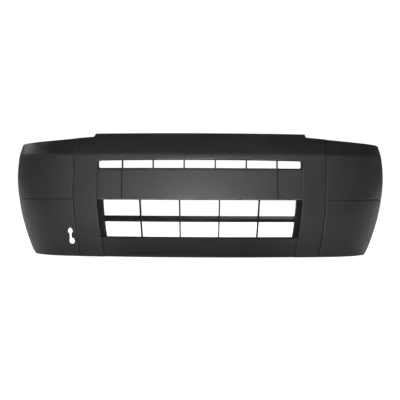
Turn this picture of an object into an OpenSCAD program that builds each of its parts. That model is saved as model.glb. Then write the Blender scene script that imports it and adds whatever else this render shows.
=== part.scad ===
// Front bumper cover of a small van. A proud centre moulding and two wrap-round corner
// mouldings are screwed together through flanges along their seams. The recess in the
// centre holds an upper grille, a number plate panel between two infills, a lower grille
// and a valance. Push rivets clamp the top flange to a rail, and wing brackets carry the
// corners. +X is to the right seen from the front, the front faces -Y, +Z is up.

/* [Overall] */
// Width over both sides
overall_w = 1700; // [1600:10:1850]
// Height from the base to the top of the lip
overall_h = 535; // [500:5:600]
// Depth from the middle of the front to the wheel arch edges
overall_d = 460; // [430:5:560]
// Plan radius of the front
front_r = 2000; // [1800:50:2400]
// Wall thickness of the mouldings
wall = 3.2; // [2.6:0.1:4]
// How far the centre moulding stands out from the corners
proud = 4; // [2:0.5:7]
// Gap between neighbouring pieces
fit = 0.4; // [0.3:0.05:0.8]

/* [Section] */
// Height of the furthest forward line of the front, as a share of the overall height
belly_share = 0.32; // [0.28:0.01:0.36]
// Height of the crease below the shoulder, as a share of the overall height
crease_share = 0.826; // [0.81:0.002:0.84]
// How far the base tucks under at the front
front_tuck = 32; // [15:1:45]
// How far the base tucks under at the sides
side_tuck = 74; // [40:1:90]
// How far the front leans back from the belly to the crease
front_lean = 22; // [10:1:30]
// How far the sides lean in from the belly to the crease
side_lean = 8; // [4:1:15]
// How far the shoulder runs back from the crease to the lip at the front
front_run = 95; // [70:1:105]
// How far the shoulder would run in over the same height at the sides
side_run = 30; // [20:1:60]
// Height of the step down at each end of the lip
lip_step = 14; // [8:1:20]
// How much further the top edge falls towards the sides
side_drop = 29; // [10:1:32]

/* [Plan lines] */
// Distance from the middle to each seam, as a share of half the width
seam_share = 0.639; // [0.62:0.001:0.645]
// How far each seam runs inwards at the base
seam_in = 32; // [10:1:45]
// Half length of the lip, as a share of half the width
lip_share = 0.541; // [0.5:0.001:0.56]
// Half width of the recess, as a share of half the width
recess_share = 0.517; // [0.5:0.001:0.52]
// How far the sides of the recess run inwards at the base
recess_in = 31; // [10:1:40]
// Half width of the number plate panel, as a share of half the width
plate_share = 0.391; // [0.36:0.001:0.41]
// Width of the gap on each side of the number plate panel
plate_gap = 4.5; // [1:0.5:5]

/* [Corners] */
// Width of the groove along the seam
groove_w = 6; // [4:0.5:8]
// Depth of the groove along the seam
groove_d = 5; // [3:0.5:7]
// Depth of the flanges along the seam
flange_d = 30; // [27:1:36]
// Height of the styling groove, as a share of the overall height
line_share = 0.466; // [0.45:0.002:0.49]
// Depth of the styling groove
line_d = 2; // [1.5:0.5:4]
// Width of the flange along the wheel arch
arch_flange = 26; // [24:1:32]
// How far round the wheel arch edge comes at the base, in degrees
arch_turn = 28; // [10:1:32]
// Height above which the wheel arch edge is upright, as a share of the overall height
arch_share = 0.64; // [0.6:0.01:0.66]

/* [Recess] */
// Height of the recess, as a share of the overall height
band_share = 0.782; // [0.77:0.001:0.79]
// How much higher the recess is in the middle than at its corners
crown = 3; // [0:0.5:5]
// Corner radius of the recess
recess_r = 12; // [8:1:16]
// Depth of the return round the recess
return_d = 16; // [12:1:18]
// Height of the slot's lower edge, as a share of the overall height
slot_share = 0.705; // [0.69:0.001:0.71]
// Height of the lower opening's upper edge, as a share of the overall height
mouth_share = 0.464; // [0.455:0.001:0.47]
// Height of the lower opening's lower edge, as a share of the overall height
sill_share = 0.157; // [0.15:0.001:0.17]
// Set-back of the panels from the pillars
panel_set = 5; // [3:0.5:7]
// Set-back of the lower grille from the pillars
grille_set = 8; // [6:0.5:12]
// Set-back of the valance from the pillars
valance_set = 10; // [7:0.5:11]

/* [Grilles] */
// Number of upright fins in the upper grille
upper_fins = 6; // [4:1:8]
// Thickness of the upper grille's fins
upper_fin_t = 5.5; // [4:0.5:8]
// Height of the upper grille's lower rim
upper_rim = 6; // [3:0.5:8]
// Number of window columns in the lower grille
columns = 5; // [3:1:7]
// Thickness of the lower grille's fins
fin_t = 5.5; // [4:0.5:9]
// Width of the lower grille's upright ends
grille_side = 22; // [16:0.5:26]
// Depth of the lower grille
grille_d = 56; // [40:1:70]
// Height of the underside of the blade, as a share of the overall height
blade_share = 0.284; // [0.27:0.002:0.3]
// Height of the blade's front edge
blade_h = 13; // [8:1:16]
// Rise of the blade from its front edge to its back edge
blade_rise = 13; // [6:1:16]

/* [Tow slot] */
// Distance from the middle to the slot's upper end, as a share of half the width
tow_share = 0.658; // [0.654:0.001:0.67]
// Height of the slot's upper end, as a share of the overall height
tow_z_share = 0.204; // [0.2:0.001:0.23]
// Radius of the slot's upper end
tow_r1 = 11; // [8:0.5:12]
// Radius of the slot's lower end
tow_r2 = 13; // [9:0.5:14]
// Drop from the slot's upper end to its lower end
tow_drop = 42; // [36:1:48]
// How far the lower end is nearer the middle than the upper end
tow_shift = 5; // [0:0.5:8]
// Width of the neck between the slot's ends
tow_neck = 10; // [7:0.5:12]

/* [Fasteners] */
// Distance between neighbouring push rivets
rivet_pitch = 190; // [150:5:205]
// Outer radius of the rivets' sleeves
sleeve_r = 4; // [3.6:0.1:4.5]
// Radius of the rivets' pins
pin_r = 2.2; // [1.9:0.1:2.5]
// Radial clearance of a pin in its sleeve and of a sleeve in its hole
running = 0.05; // [0.03:0.01:0.08]
// Radius of the screws' shanks
screw_r = 2; // [1.7:0.1:2.4]
// Radius of the bosses that the screws go into
boss_r = 5.2; // [4.6:0.1:6]
// Distance between neighbouring bolt holes in the top rail
rail_pitch = 220; // [180:5:230]
// Radius of the bolt holes in the top rail
rail_hole_r = 3.3; // [3:0.1:4.3]
// Distance between the two bolt holes in each wing bracket
wing_pitch = 50; // [36:1:56]
// Radius of the bolt holes in the wing brackets
wing_hole_r = 3.3; // [3:0.1:4.3]

/* [Hidden] */
$fn = 40;

skin_grey = [0.16, 0.16, 0.165];
panel_grey = [0.14, 0.14, 0.145];
grille_black = [0.06, 0.06, 0.06];
metal_grey = [0.55, 0.55, 0.56];
clip_black = [0.09, 0.09, 0.09];

half_w = overall_w / 2;
side_least = 10;
belly_z = belly_share * overall_h;
crease_z = crease_share * overall_h;
mouth_z = mouth_share * overall_h;
// depth of the number plate panel's lower edge, the furthest forward, behind the front circle
front_set = panel_set + front_lean * pow((mouth_z + fit - belly_z) / (crease_z - belly_z), 1.7);
y0 = proud - front_set - overall_d / 2;
seam_x = seam_share * half_w;
// radius of the circle that touches the front circle and the upright side, where the side
// keeps its least straight length, and where the two circles meet past the seam at every height
round_r = (pow(front_r, 2) - pow(half_w, 2)
    - pow(front_r - overall_d - front_set + proud + side_least, 2)) / (2 * (front_r - half_w));
meet_x = (seam_x + groove_w / 2) * front_r / (front_r - front_run);
meet_r = front_r * (half_w - meet_x) / (front_r - meet_x);
corner_r = min(round_r, meet_r);
corner_x = half_w - corner_r;
corner_y = front_r - sqrt(pow(front_r, 2) - pow(half_w, 2) - 2 * corner_r * (front_r - half_w));
side_len = overall_d + front_set - proud - corner_y;
turn = atan2(corner_x, front_r - corner_y);
hub_y = y0 + front_r;

side_belly_z = 0.65 * overall_h;
waist_z = 0.514 * overall_h;
line_z = line_share * overall_h;
arch_z = arch_share * overall_h;
band_z = band_share * overall_h;
slot_z = slot_share * overall_h;
sill_z = sill_share * overall_h;
blade_z = blade_share * overall_h;

lip_x = lip_share * half_w;
recess_x = recess_share * half_w;
plate_x = plate_share * half_w;
tow_x = tow_share * half_w;
tow_z = tow_z_share * overall_h;

function mix(a, b, t) = a + (b - a) * t;
function soft(t) = let (u = max(0, min(1, t))) u * u * (3 - 2 * u);
// 0 over the front, 1 at the sides
function sideness(th) = soft((th - turn) / (78 - turn));

// distance from the plan curve in to the surface, at height z
function inset(z, w) = let (zb = mix(belly_z, side_belly_z, w))
    z < zb ? mix(front_tuck, side_tuck, w) * pow((zb - z) / zb, mix(1.6, 1.8, w))
    : z < crease_z ? mix(front_lean, side_lean, w) * pow((z - zb) / (crease_z - zb), 1.7)
    : mix(front_lean, side_lean, w)
        + mix(front_run, side_run, w) * pow((z - crease_z) / (overall_h - crease_z), 1.1);
// how much thicker the wall is measured level than square to itself
function slant(z, w) = sqrt(1 + pow((inset(z + 1, w) - inset(z - 1, w)) / 2, 2));
// radius of the centre moulding's face about the hub
function face_r(z) = front_r + proud - inset(z, 0);
// heights of the seam's straight stretches, and its distance from the middle
seam_zs = [for (k = [0, 0.112, 0.243, 0.39, 0.514]) k * overall_h];
function in_line(z, top, in) = top - in * pow(max(0, (waist_z - z) / waist_z), 1.5);
seam_table = [for (z = seam_zs) [z, in_line(z, seam_x, seam_in)]];
recess_table = [for (z = seam_zs) [z, in_line(z, recess_x, recess_in)]];
function seam(z) = lookup(z, seam_table);
function recess(z) = lookup(z, recess_table);
// how far the crown has fallen at x from the middle
function fall(x) = crown * pow(x / recess_x, 2);
function top_edge(x) = overall_h - lip_step - side_drop * (x - lip_x) / (half_w - lip_x);

// depth of the tabs that the screws pass through, and the grip of a screw in a boss
tab_d = 28;
thread = 8;

// ---- Shared building pieces

// Turns a profile about the hub, across the front of the part, to past x on each side.
module sweep(x) {
    half_angle = asin((x + 15) / (front_r - front_run - 45));
    translate([0, hub_y, 0])
        rotate([0, 0, 270 - half_angle])
            rotate_extrude(angle = 2 * half_angle, $fn = 400)
                children();
}

// Pushes an outline drawn in X and Z right through the part in Y.
module prism() {
    translate([0, overall_d, 0])
        rotate([90, 0, 0])
            linear_extrude(2 * overall_d)
                children();
}

// Profile of a layer behind the face, from one depth to another.
module layer(d1, d2, z1, z2, steps = 6) {
    zs = [for (i = [0:steps]) mix(z1, z2, i / steps)];
    polygon(concat([for (z = zs) [face_r(z) - d1, z]],
        [for (i = [steps:-1:0]) [face_r(zs[i]) - d2, zs[i]]]));
}

// Stands its children x from the middle and z high, at a depth behind the centre's face
// at height zr. Local +Y runs backwards along a radius of the hub.
module behind(x, z, depth, zr) {
    translate([0, hub_y, 0])
        rotate([0, 0, asin(x / (face_r(zr) - tab_d))])
            translate([0, depth - face_r(zr), z])
                children();
}

// A boss on a moulding, with a blind hole for a screw from behind.
module boss(x, z, zr, skin) {
    long = face_r(z) - face_r(zr) + tab_d - 0.3 - skin;
    behind(x, z, tab_d - 0.3, zr)
        rotate([90, 0, 0])
            cylinder(r = boss_r, h = long);
}

module boss_hole(x, z, zr) {
    behind(x, z, tab_d - 0.3, zr)
        rotate([90, 0, 0])
            translate([0, 0, -1])
                cylinder(r = screw_r + 0.03, h = thread + 2);
}

// A tab behind a neighbour's boss, drawn out from the middle of its root.
module tab(x, z, zr, w, h, dx = 0, dz = 0) {
    behind(x, z, tab_d, zr)
        translate([dx - w / 2, 0, dz - h / 2])
            cube([w, wall, h]);
}

module tab_hole(x, z, zr) {
    behind(x, z, tab_d - 1, zr)
        rotate([-90, 0, 0])
            cylinder(r = screw_r + 0.2, h = wall + 2);
}

// A pan head screw. Its shank points along local +Z, its head sits below.
module screw(long) {
    difference() {
        union() {
            cylinder(r = screw_r, h = long - 1.5);
            translate([0, 0, long - 1.5])
                cylinder(r1 = screw_r, r2 = screw_r * 0.4, h = 1.5);
            translate([0, 0, -1])
                cylinder(r = screw_r * 3, h = 1);
            translate([0, 0, -2.2])
                cylinder(r = screw_r * 2, h = 1.3);
            translate([0, 0, -3])
                cylinder(r1 = screw_r * 1.5, r2 = screw_r * 2, h = 0.9);
        }
        translate([-screw_r, -0.5, -4])
            cube([screw_r * 2, 1, 2.4]);
        translate([-0.5, -screw_r, -4])
            cube([1, screw_r * 2, 2.4]);
    }
}

module back_screw(x, z, zr) {
    behind(x, z, tab_d + wall, zr)
        rotate([90, 0, 0])
            screw(wall + 0.3 + thread);
}

// Screw places: distance from the middle, height, height the depth is taken at.
side_out = 17;
function both(list) = concat(list, [for (p = list) [-p[0], p[1], p[2]]]);
top_at = both([[0.3 * recess_x, band_z + 14, band_z], [0.88 * recess_x, band_z + 14, band_z]]);
plate_at = both([[0.5 * plate_x, slot_z - 17, slot_z], [0.5 * plate_x, mouth_z + 15, mouth_z]]);
infill_at = [for (z = [slot_z - 17, mouth_z + 15])
    [(plate_x + recess_x) / 2, z, z > mouth_z + 30 ? slot_z : mouth_z]];
flank_at = [for (k = [0.25, 0.39]) [recess(k * overall_h) + side_out, k * overall_h, k * overall_h]];
under_at = both([[0.25 * recess_x, sill_z - 15, sill_z], [0.7 * recess_x, sill_z - 15, sill_z]]);
foot_at = [[recess(0.08 * overall_h) + side_out, 0.08 * overall_h, 0.08 * overall_h]];

// ---- Centre moulding

section_n = 14;
rise_n = 5;
section_zs = concat([for (i = [0:section_n]) crease_z * i / section_n],
    [for (i = [1:rise_n]) mix(crease_z, overall_h, i / rise_n)]);
inner_zs = [for (z = section_zs) if (z < overall_h - 9) z];
lip_r = face_r(overall_h);
flange_top = overall_h - 5;
flange_low = flange_top - 3;
flange_back = 40;
rivet_r = lip_r - 24;

module centre_section() {
    polygon(concat(
        [for (z = section_zs) [face_r(z), z]],
        [[lip_r - 6, overall_h], [lip_r - 9, flange_top], [lip_r - flange_back, flange_top],
            [lip_r - flange_back, flange_low],
            [face_r(flange_low) - wall * slant(flange_low, 0) - 2, flange_low]],
        [for (i = [len(inner_zs) - 1:-1:0])
            [face_r(inner_zs[i]) - wall * slant(inner_zs[i], 0), inner_zs[i]]]));
}

// Outline of the centre moulding seen from the front.
module centre_outline() {
    half = concat([for (p = seam_table) [p[1], p[0]]],
        [[seam_x, top_edge(seam_x)], [lip_x + 4, top_edge(lip_x + 4)], [lip_x, overall_h + 1]]);
    n = len(half) - 1;
    polygon(concat([[half[0][0], -1]], half, [for (i = [n:-1:0]) [-half[i][0], half[i][1]]],
        [[-half[0][0], -1]]));
}

// Outline of the recess, made larger all round by e.
module recess_outline(e = 0) {
    r = recess_r + e;
    flat_x = recess_x - recess_r;
    half = concat([for (p = recess_table) [p[1] + e, p[0]]],
        [for (a = [0:15:90]) [flat_x + r * cos(a), band_z - fall(flat_x) - recess_r + r * sin(a)]],
        [for (i = [5:-1:0]) [flat_x * i / 6, band_z - fall(flat_x * i / 6) + e]]);
    n = len(half) - 2;
    polygon(concat([[half[0][0], -2]], half, [for (i = [n:-1:0]) [-half[i][0], half[i][1]]],
        [[-half[0][0], -2]]));
}

// Part of the recess between two heights, made smaller by e. Its sides lean in.
module recess_span(e, z1, z2) {
    zs = concat([z1], [for (z = seam_zs) if (z > z1 + 1 && z < z2 - 1) z], [z2]);
    polygon(concat([for (z = zs) [recess(z) - e, z]],
        [for (i = [len(zs) - 1:-1:0]) [-recess(zs[i]) + e, zs[i]]]));
}

// Strip along the seam that becomes a flange running backwards.
module seam_strip() {
    pts = concat(seam_table, [[top_edge(seam_x) - 1, seam_x]]);
    polygon(concat([for (p = pts) [p[1], p[0]]],
        [for (i = [len(pts) - 1:-1:0]) [pts[i][1] - wall, pts[i][0]]]));
}

seam_hole_zs = [for (k = [0.056, 0.318, 0.57, 0.75]) k * overall_h];

// Stands its children on the seam at height z, halfway back along the flange. Local +X
// is square to the seam and points to the side.
module on_seam(z) {
    r = face_r(z);
    y = hub_y - sqrt(r * r - seam(z) * seam(z)) + flange_d - 8.5;
    lean = atan((seam(z + 5) - seam(z - 5)) / 10);
    translate([seam(z), y, z])
        rotate([0, lean, 0])
            children();
}

module seam_holes(x1, x2) {
    for (z = seam_hole_zs)
        on_seam(z)
            translate([x1, 0, 0])
                rotate([0, 90, 0])
                    cylinder(r = screw_r + 0.2, h = x2 - x1);
}

module rivet_places() {
    for (i = [-2:2])
        translate([0, hub_y, 0])
            rotate([0, 0, asin(i * rivet_pitch / rivet_r)])
                translate([0, -rivet_r, 0])
                    children();
}

module centre_bosses() {
    for (p = concat(top_at, both(flank_at), both(foot_at)))
        boss(p[0], p[1], p[2], 2);
}

module centre_skin() {
    color(skin_grey)
        difference() {
            union() {
                difference() {
                    intersection() {
                        sweep(seam_x)
                            centre_section();
                        prism()
                            centre_outline();
                    }
                    prism()
                        recess_outline();
                }
                for (s = [0, 1])
                    mirror([s, 0, 0])
                        intersection() {
                            sweep(seam_x)
                                layer(1.5, flange_d, 0, top_edge(seam_x) - 1, 16);
                            prism()
                                seam_strip();
                        }
                intersection() {
                    sweep(recess_x)
                        layer(1.5, return_d, 0, crease_z - 5, 12);
                    prism()
                        difference() {
                            recess_outline(wall);
                            recess_outline(0);
                        }
                }
                centre_bosses();
            }
            for (p = concat(top_at, both(flank_at), both(foot_at)))
                boss_hole(p[0], p[1], p[2]);
            for (s = [0, 1])
                mirror([s, 0, 0])
                    seam_holes(-wall - 3, 3);
            translate([0, 0, flange_low - 5])
                rivet_places()
                    cylinder(r = sleeve_r + running, h = 12);
        }
}

// ---- Corner mouldings

cols = 16;
rise = 5;
low_rows = concat([for (k = [0, 0.008, 0.02, 0.037, 0.075, 0.112, 0.156, 0.2, 0.243, 0.292, 0.341, 0.39, 0.43])
    k * overall_h], [line_z - 3, line_z, line_z + 3],
    [for (k = [0.514, 0.577, arch_share, 0.7, 0.765]) k * overall_h], [crease_z]);
low_n = len(low_rows);
line_row = 14;
rows = low_n + rise;

// point on the plan curve moved in by d, and the directions out and along
function plan(th, d) = th < turn
    ? [(front_r - d) * sin(th), hub_y - (front_r - d) * cos(th)]
    : [corner_x + (corner_r - d) * sin(th), y0 + corner_y - (corner_r - d) * cos(th)];
function outward(th) = [sin(th), -cos(th)];
function along(th) = [cos(th), sin(th)];

function head_start(z) = asin((seam(z) + groove_w) / (front_r - inset(z, 0)));
toe_z = 0.05 * overall_h;
function head_end(z) = 90 - arch_turn * pow(max(0, (arch_z - z) / arch_z), 1.4)
    - 5 * pow(max(0, (toe_z - z) / toe_z), 2);
function heading(q, z) = mix(head_start(z), head_end(z), q);
function row_z(i, q) = i < low_n ? low_rows[i]
    : let (x = q < 0 ? seam_x : plan(mix(asin(seam_x / front_r), 90, q), 60)[0])
        mix(crease_z, top_edge(x), (i - low_n + 1) / rise);
function notch(i) = i == line_row ? line_d : 0;

// outer and inner points of a face column
function face_pt(i, q, thick) = let (z = row_z(i, q), th = heading(q, z), w = sideness(th),
    p = plan(th, inset(z, w) + notch(i) + thick * slant(z, w))) [p[0], p[1], z];
// where the corner's own surface would meet the seam
function seam_y(z) = hub_y - sqrt(pow(front_r - inset(z, 0), 2) - pow(seam(z), 2));
function seam_pt(i, dx, dy) = let (z = row_z(i, -1)) [seam(z) + dx, seam_y(z) + dy, z];
function arch_pt(i, back, in, thick) = let (z = row_z(i, 1), th = heading(1, z), w = sideness(th),
    p = plan(th, inset(z, w) + notch(i) * (in > 0 ? 0 : 1) + thick * slant(z, w))
        + along(th) * back - outward(th) * in) [p[0], p[1], z];

seat = 0.3;
function outer_row(i) = concat(
    [seam_pt(i, seat, flange_d + proud), seam_pt(i, seat, groove_d)],
    [for (c = [0:cols]) face_pt(i, c / cols, 0)],
    [arch_pt(i, side_len, 0, 0), arch_pt(i, side_len, arch_flange, 0)]);
function inner_row(i) = concat(
    [seam_pt(i, seat + wall, flange_d + proud),
        seam_pt(i, seat + wall, groove_d + 1.3 * wall * slant(row_z(i, -1), 0))],
    [for (c = [0:cols]) face_pt(i, c / cols, wall)],
    [arch_pt(i, side_len - wall, 0, wall), arch_pt(i, side_len - wall, arch_flange, 0)]);

// Right-hand corner: a grid of outer points and a grid of inner points, closed round.
module corner_shell() {
    m = cols + 5;
    out = [for (i = [0:rows - 1]) each outer_row(i)];
    in = [for (i = [0:rows - 1]) each inner_row(i)];
    k = rows * m;
    faces = concat(
        [for (i = [0:rows - 2], c = [0:m - 2]) each let (a = i * m + c)
            [[a, a + m, a + m + 1], [a, a + m + 1, a + 1],
                [k + a, k + a + m + 1, k + a + m], [k + a, k + a + 1, k + a + m + 1]]],
        [for (c = [0:m - 2]) each let (b = c, t = (rows - 1) * m + c)
            [[b, b + 1, k + b + 1], [b, k + b + 1, k + b],
                [t, k + t + 1, t + 1], [t, k + t, k + t + 1]]],
        [for (i = [0:rows - 2]) each let (l = i * m, r = i * m + m - 1)
            [[l, k + l, k + l + m], [l, k + l + m, l + m],
                [r, k + r + m, k + r], [r, r + m, k + r + m]]]);
    polyhedron(points = concat(out, in), faces = faces, convexity = 6);
}

wing_zs = [for (s = [-1, 1]) 0.73 * overall_h + s * 22];
wing_screw_x = half_w - side_lean - arch_flange + 10;
rear_y = overall_d / 2;

module wing_holes(r, deep) {
    for (z = wing_zs)
        translate([wing_screw_x, rear_y - deep, z])
            rotate([-90, 0, 0])
                cylinder(r = r, h = deep + 2);
}

module corner_right() {
    difference() {
        corner_shell();
        seam_holes(-2, wall + 4);
        wing_holes(screw_r + 0.03, 8);
    }
}

module corner_skin_right() {
    color(skin_grey)
        corner_right();
}

module tow_slot() {
    th = asin(tow_x / front_r);
    p = plan(th, inset(tow_z, 0));
    translate([p[0], p[1], tow_z])
        rotate([90, 0, th])
            translate([0, 0, -40])
                union() {
                    cylinder(r = tow_r1, h = 80);
                    translate([0, tow_r1 * 0.6, 0])
                        cylinder(r = tow_r1 * 0.7, h = 80);
                    translate([-tow_neck / 2, -tow_drop, 0])
                        cube([tow_neck, tow_drop, 80]);
                    translate([-tow_shift, -tow_drop, 0])
                        cylinder(r = tow_r2, h = 80);
                }
}

module corner_skin_left() {
    color(skin_grey)
        mirror([1, 0, 0])
            difference() {
                corner_right();
                tow_slot();
            }
}

// ---- Pieces in the recess

upper_d = tab_d + wall - panel_set;

// Window with rounded corners and a top edge that follows the crown.
module rounded_window(x1, x2, z1, z2, r1, r2) {
    a1 = x1 + r1;
    a2 = x2 - r2;
    polygon(concat(
        [for (a = [180:30:270]) [a1 + r1 * cos(a), z1 + r1 + r1 * sin(a)]],
        [for (a = [270:30:360]) [a2 + r2 * cos(a), z1 + r2 + r2 * sin(a)]],
        [for (a = [0:30:90]) [a2 + r2 * cos(a), z2 - fall(a2) - r2 + r2 * sin(a)]],
        [for (i = [5:-1:1]) let (x = mix(a1, a2, i / 6)) [x, z2 - fall(x)]],
        [for (a = [90:30:180]) [a1 + r1 * cos(a), z2 - fall(a1) - r1 + r1 * sin(a)]]));
}

upper_z1 = slot_z - 2;
upper_z2 = band_z - fit;
window_x = recess_x - fit - 5;
upper_pitch = 2 * window_x / (upper_fins + 0.57);
function upper_fin_x(i) = (i - (upper_fins - 1) / 2) * upper_pitch;

module upper_grille() {
    color(grille_black)
        difference() {
            union() {
                intersection() {
                    sweep(recess_x)
                        layer(panel_set, panel_set + upper_d, upper_z1, upper_z2, 2);
                    prism()
                        union() {
                            rounded_window(-recess_x + fit, recess_x - fit, upper_z1, upper_z2,
                                recess_r - fit, recess_r - fit);
                            translate([fit - recess_x, upper_z1])
                                square([2 * (recess_x - fit), recess_r + 2]);
                        }
                }
                for (p = top_at) {
                    low = fit + fall(p[0]) + 2.4;
                    tab(p[0], p[1], p[2], 24, 22 + low, 0, (22 - low) / 2 - 14);
                }
                for (p = concat(plate_at, both(infill_at)))
                    if (p[2] == slot_z)
                        tab(p[0], p[1], p[2], 24, 25.4, 0, 4.7);
            }
            prism()
                for (i = [0:upper_fins])
                    rounded_window(
                        i == 0 ? -window_x : upper_fin_x(i - 1) + upper_fin_t / 2,
                        i == upper_fins ? window_x : upper_fin_x(i) - upper_fin_t / 2,
                        upper_z1 + upper_rim, upper_z2 - 2.5,
                        i == 0 ? recess_r - 5 : 2, i == upper_fins ? recess_r - 5 : 2);
            for (p = concat(top_at, plate_at, both(infill_at)))
                if (p[2] != mouth_z)
                    tab_hole(p[0], p[1], p[2]);
        }
}

panel_z1 = mouth_z + fit;
panel_z2 = upper_z1 - fit;

// Channel profile: a face with a return along its top and bottom edges.
module channel(set, deep) {
    n = 4;
    zs = [for (i = [0:n]) mix(panel_z1, panel_z2, i / n)];
    zi = [for (i = [0:n]) mix(panel_z1 + 3, panel_z2 - 3, i / n)];
    polygon(concat(
        [for (z = zs) [face_r(z) - set, z]],
        [[face_r(panel_z2) - set - deep, panel_z2], [face_r(panel_z2) - set - deep, panel_z2 - 3]],
        [for (i = [n:-1:0]) [face_r(zi[i]) - set - 3, zi[i]]],
        [[face_r(panel_z1) - set - deep, panel_z1 + 3], [face_r(panel_z1) - set - deep, panel_z1]]));
}

module plate_panel() {
    color(panel_grey)
        difference() {
            union() {
                intersection() {
                    sweep(plate_x)
                        channel(panel_set, 12);
                    translate([plate_gap / 2 - plate_x, -overall_d / 2, panel_z1 - 1])
                        cube([2 * plate_x - plate_gap, overall_d, panel_z2 - panel_z1 + 2]);
                }
                for (p = plate_at)
                    boss(p[0], p[1], p[2], panel_set + 1.5);
            }
            for (p = plate_at)
                boss_hole(p[0], p[1], p[2]);
        }
}

module infill_right_raw() {
    difference() {
        union() {
            intersection() {
                sweep(recess_x)
                    channel(panel_set + 1, 11);
                translate([plate_x + plate_gap / 2, -overall_d / 2, panel_z1 - 1])
                    cube([recess_x - plate_x, overall_d, panel_z2 - panel_z1 + 2]);
                prism()
                    recess_span(fit, panel_z1 - 1, panel_z2 + 1);
            }
            intersection() {
                sweep(recess_x)
                    layer(panel_set + 3 + fit, panel_set + 5 + fit, panel_z1 + 3.5, panel_z2 - 3.5, 4);
                translate([plate_x - 8, -overall_d / 2, panel_z1])
                    cube([8 + plate_gap, overall_d, panel_z2 - panel_z1]);
            }
            for (p = infill_at)
                boss(p[0], p[1], p[2], panel_set + 2.5);
        }
        for (p = infill_at)
            boss_hole(p[0], p[1], p[2]);
    }
}

module infill_right() {
    color(panel_grey)
        infill_right_raw();
}

module infill_left() {
    color(panel_grey)
        mirror([1, 0, 0])
            infill_right_raw();
}

grille_z1 = sill_z;
grille_z2 = mouth_z;

module blade_profile() {
    f = face_r(blade_z) - grille_set - 1;
    polygon([[f, blade_z], [f, blade_z + blade_h], [f - 34, blade_z + blade_h + blade_rise],
        [f - 36, blade_z + blade_h + blade_rise - 3], [f - 4, blade_z + blade_h - 4], [f - 3.5, blade_z]]);
}

module bar_profile(z1, z2) {
    f = face_r(z1) - grille_set;
    polygon([[f, z1], [f, z2], [f - grille_d, z2], [f - grille_d, z1]]);
}

module lower_grille() {
    color(grille_black)
        difference() {
            union() {
                intersection() {
                    sweep(recess_x)
                        layer(grille_set, grille_set + grille_d, grille_z1, grille_z2, 4);
                    prism()
                        difference() {
                            recess_span(fit, grille_z1, grille_z2);
                            recess_span(fit + grille_side, grille_z1 - 1, grille_z2 + 1);
                        }
                }
                intersection() {
                    sweep(recess_x) {
                        blade_profile();
                        bar_profile(grille_z1, grille_z1 + 3);
                        bar_profile(grille_z2 - 3, grille_z2);
                    }
                    prism()
                        recess_span(fit + 3, grille_z1 - 1, grille_z2 + 1);
                }
                intersection() {
                    sweep(recess_x)
                        layer(grille_set + 3, grille_set + grille_d - 3, grille_z1 + 1, grille_z2 - 1, 4);
                    prism()
                        for (i = [1:columns - 1]) {
                            k = 2 * i / columns - 1;
                            xb = k * (recess(grille_z1) - 0.6 * grille_side);
                            xt = k * (recess(grille_z2) - 0.6 * grille_side);
                            polygon([[xb - fin_t / 2, grille_z1], [xb + fin_t / 2, grille_z1],
                                [xt + fin_t / 2, grille_z2], [xt - fin_t / 2, grille_z2]]);
                        }
                }
                for (p = concat(plate_at, both(infill_at)))
                    if (p[2] == mouth_z)
                        tab(p[0], p[1], p[2], 24, 26, 0, -4);
                for (p = under_at)
                    tab(p[0], p[1], p[2], 24, 26, 0, 4);
                for (s = [0, 1])
                    mirror([s, 0, 0])
                        for (p = flank_at)
                            tab(p[0], p[1], p[2], 34, 24, -9, 0);
            }
            for (p = concat(plate_at, both(infill_at)))
                if (p[2] == mouth_z)
                    tab_hole(p[0], p[1], p[2]);
            for (p = concat(under_at, both(flank_at)))
                tab_hole(p[0], p[1], p[2]);
        }
}

valance_top = sill_z - fit;

module valance_profile() {
    n = 4;
    set = valance_set;
    zs = [for (i = [0:n]) mix(12, valance_top, i / n)];
    polygon(concat(
        [for (z = zs) [face_r(z) - set, z]],
        [[face_r(valance_top) - set - 14, valance_top], [face_r(valance_top) - set - 14, valance_top - 3],
            [face_r(valance_top) - set - 3, valance_top - 3]],
        [for (i = [n - 1:-1:0]) [face_r(zs[i]) - set - 3, zs[i]]],
        [[face_r(6) - set - 2, 5], [face_r(3) - set - 12, 3], [face_r(0) - set - 12, 0],
            [face_r(0) - set + 1, 0], [face_r(3) - set + 3, 2], [face_r(6) - set + 3, 6]]));
}

// how far in from a foot screw the link to its tab starts, clear of the recess's return
foot_turn = asin(foot_at[0][0] / (face_r(foot_at[0][2]) - tab_d));
link_out = side_out + 6 + 1.9 + (tab_d - valance_set) * tan(foot_turn);

module valance() {
    color(panel_grey)
        difference() {
            union() {
                intersection() {
                    sweep(recess_x)
                        valance_profile();
                    prism()
                        recess_span(fit, -1, valance_top + 1);
                }
                for (p = under_at)
                    boss(p[0], p[1], p[2], valance_set + 1.5);
                for (s = [0, 1])
                    mirror([s, 0, 0])
                        for (p = foot_at) {
                            tab(p[0], p[1], p[2], 38, 24, -11, 0);
                            behind(p[0], p[1], valance_set + 1, p[2])
                                translate([-link_out, 0, -10])
                                    cube([6, tab_d - valance_set, 20]);
                        }
            }
            for (p = under_at)
                boss_hole(p[0], p[1], p[2]);
            for (p = both(foot_at))
                tab_hole(p[0], p[1], p[2]);
        }
}

// ---- Top rail and wing brackets

rail_top = flange_low - 0.2;
rail_r2 = lip_r - flange_back + 28;
rail_r1 = lip_r - flange_back - 2;
rail_hole_y = hub_y - sqrt(pow(rail_r1, 2) - pow(1.5 * rail_pitch, 2)) + 12;

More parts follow.
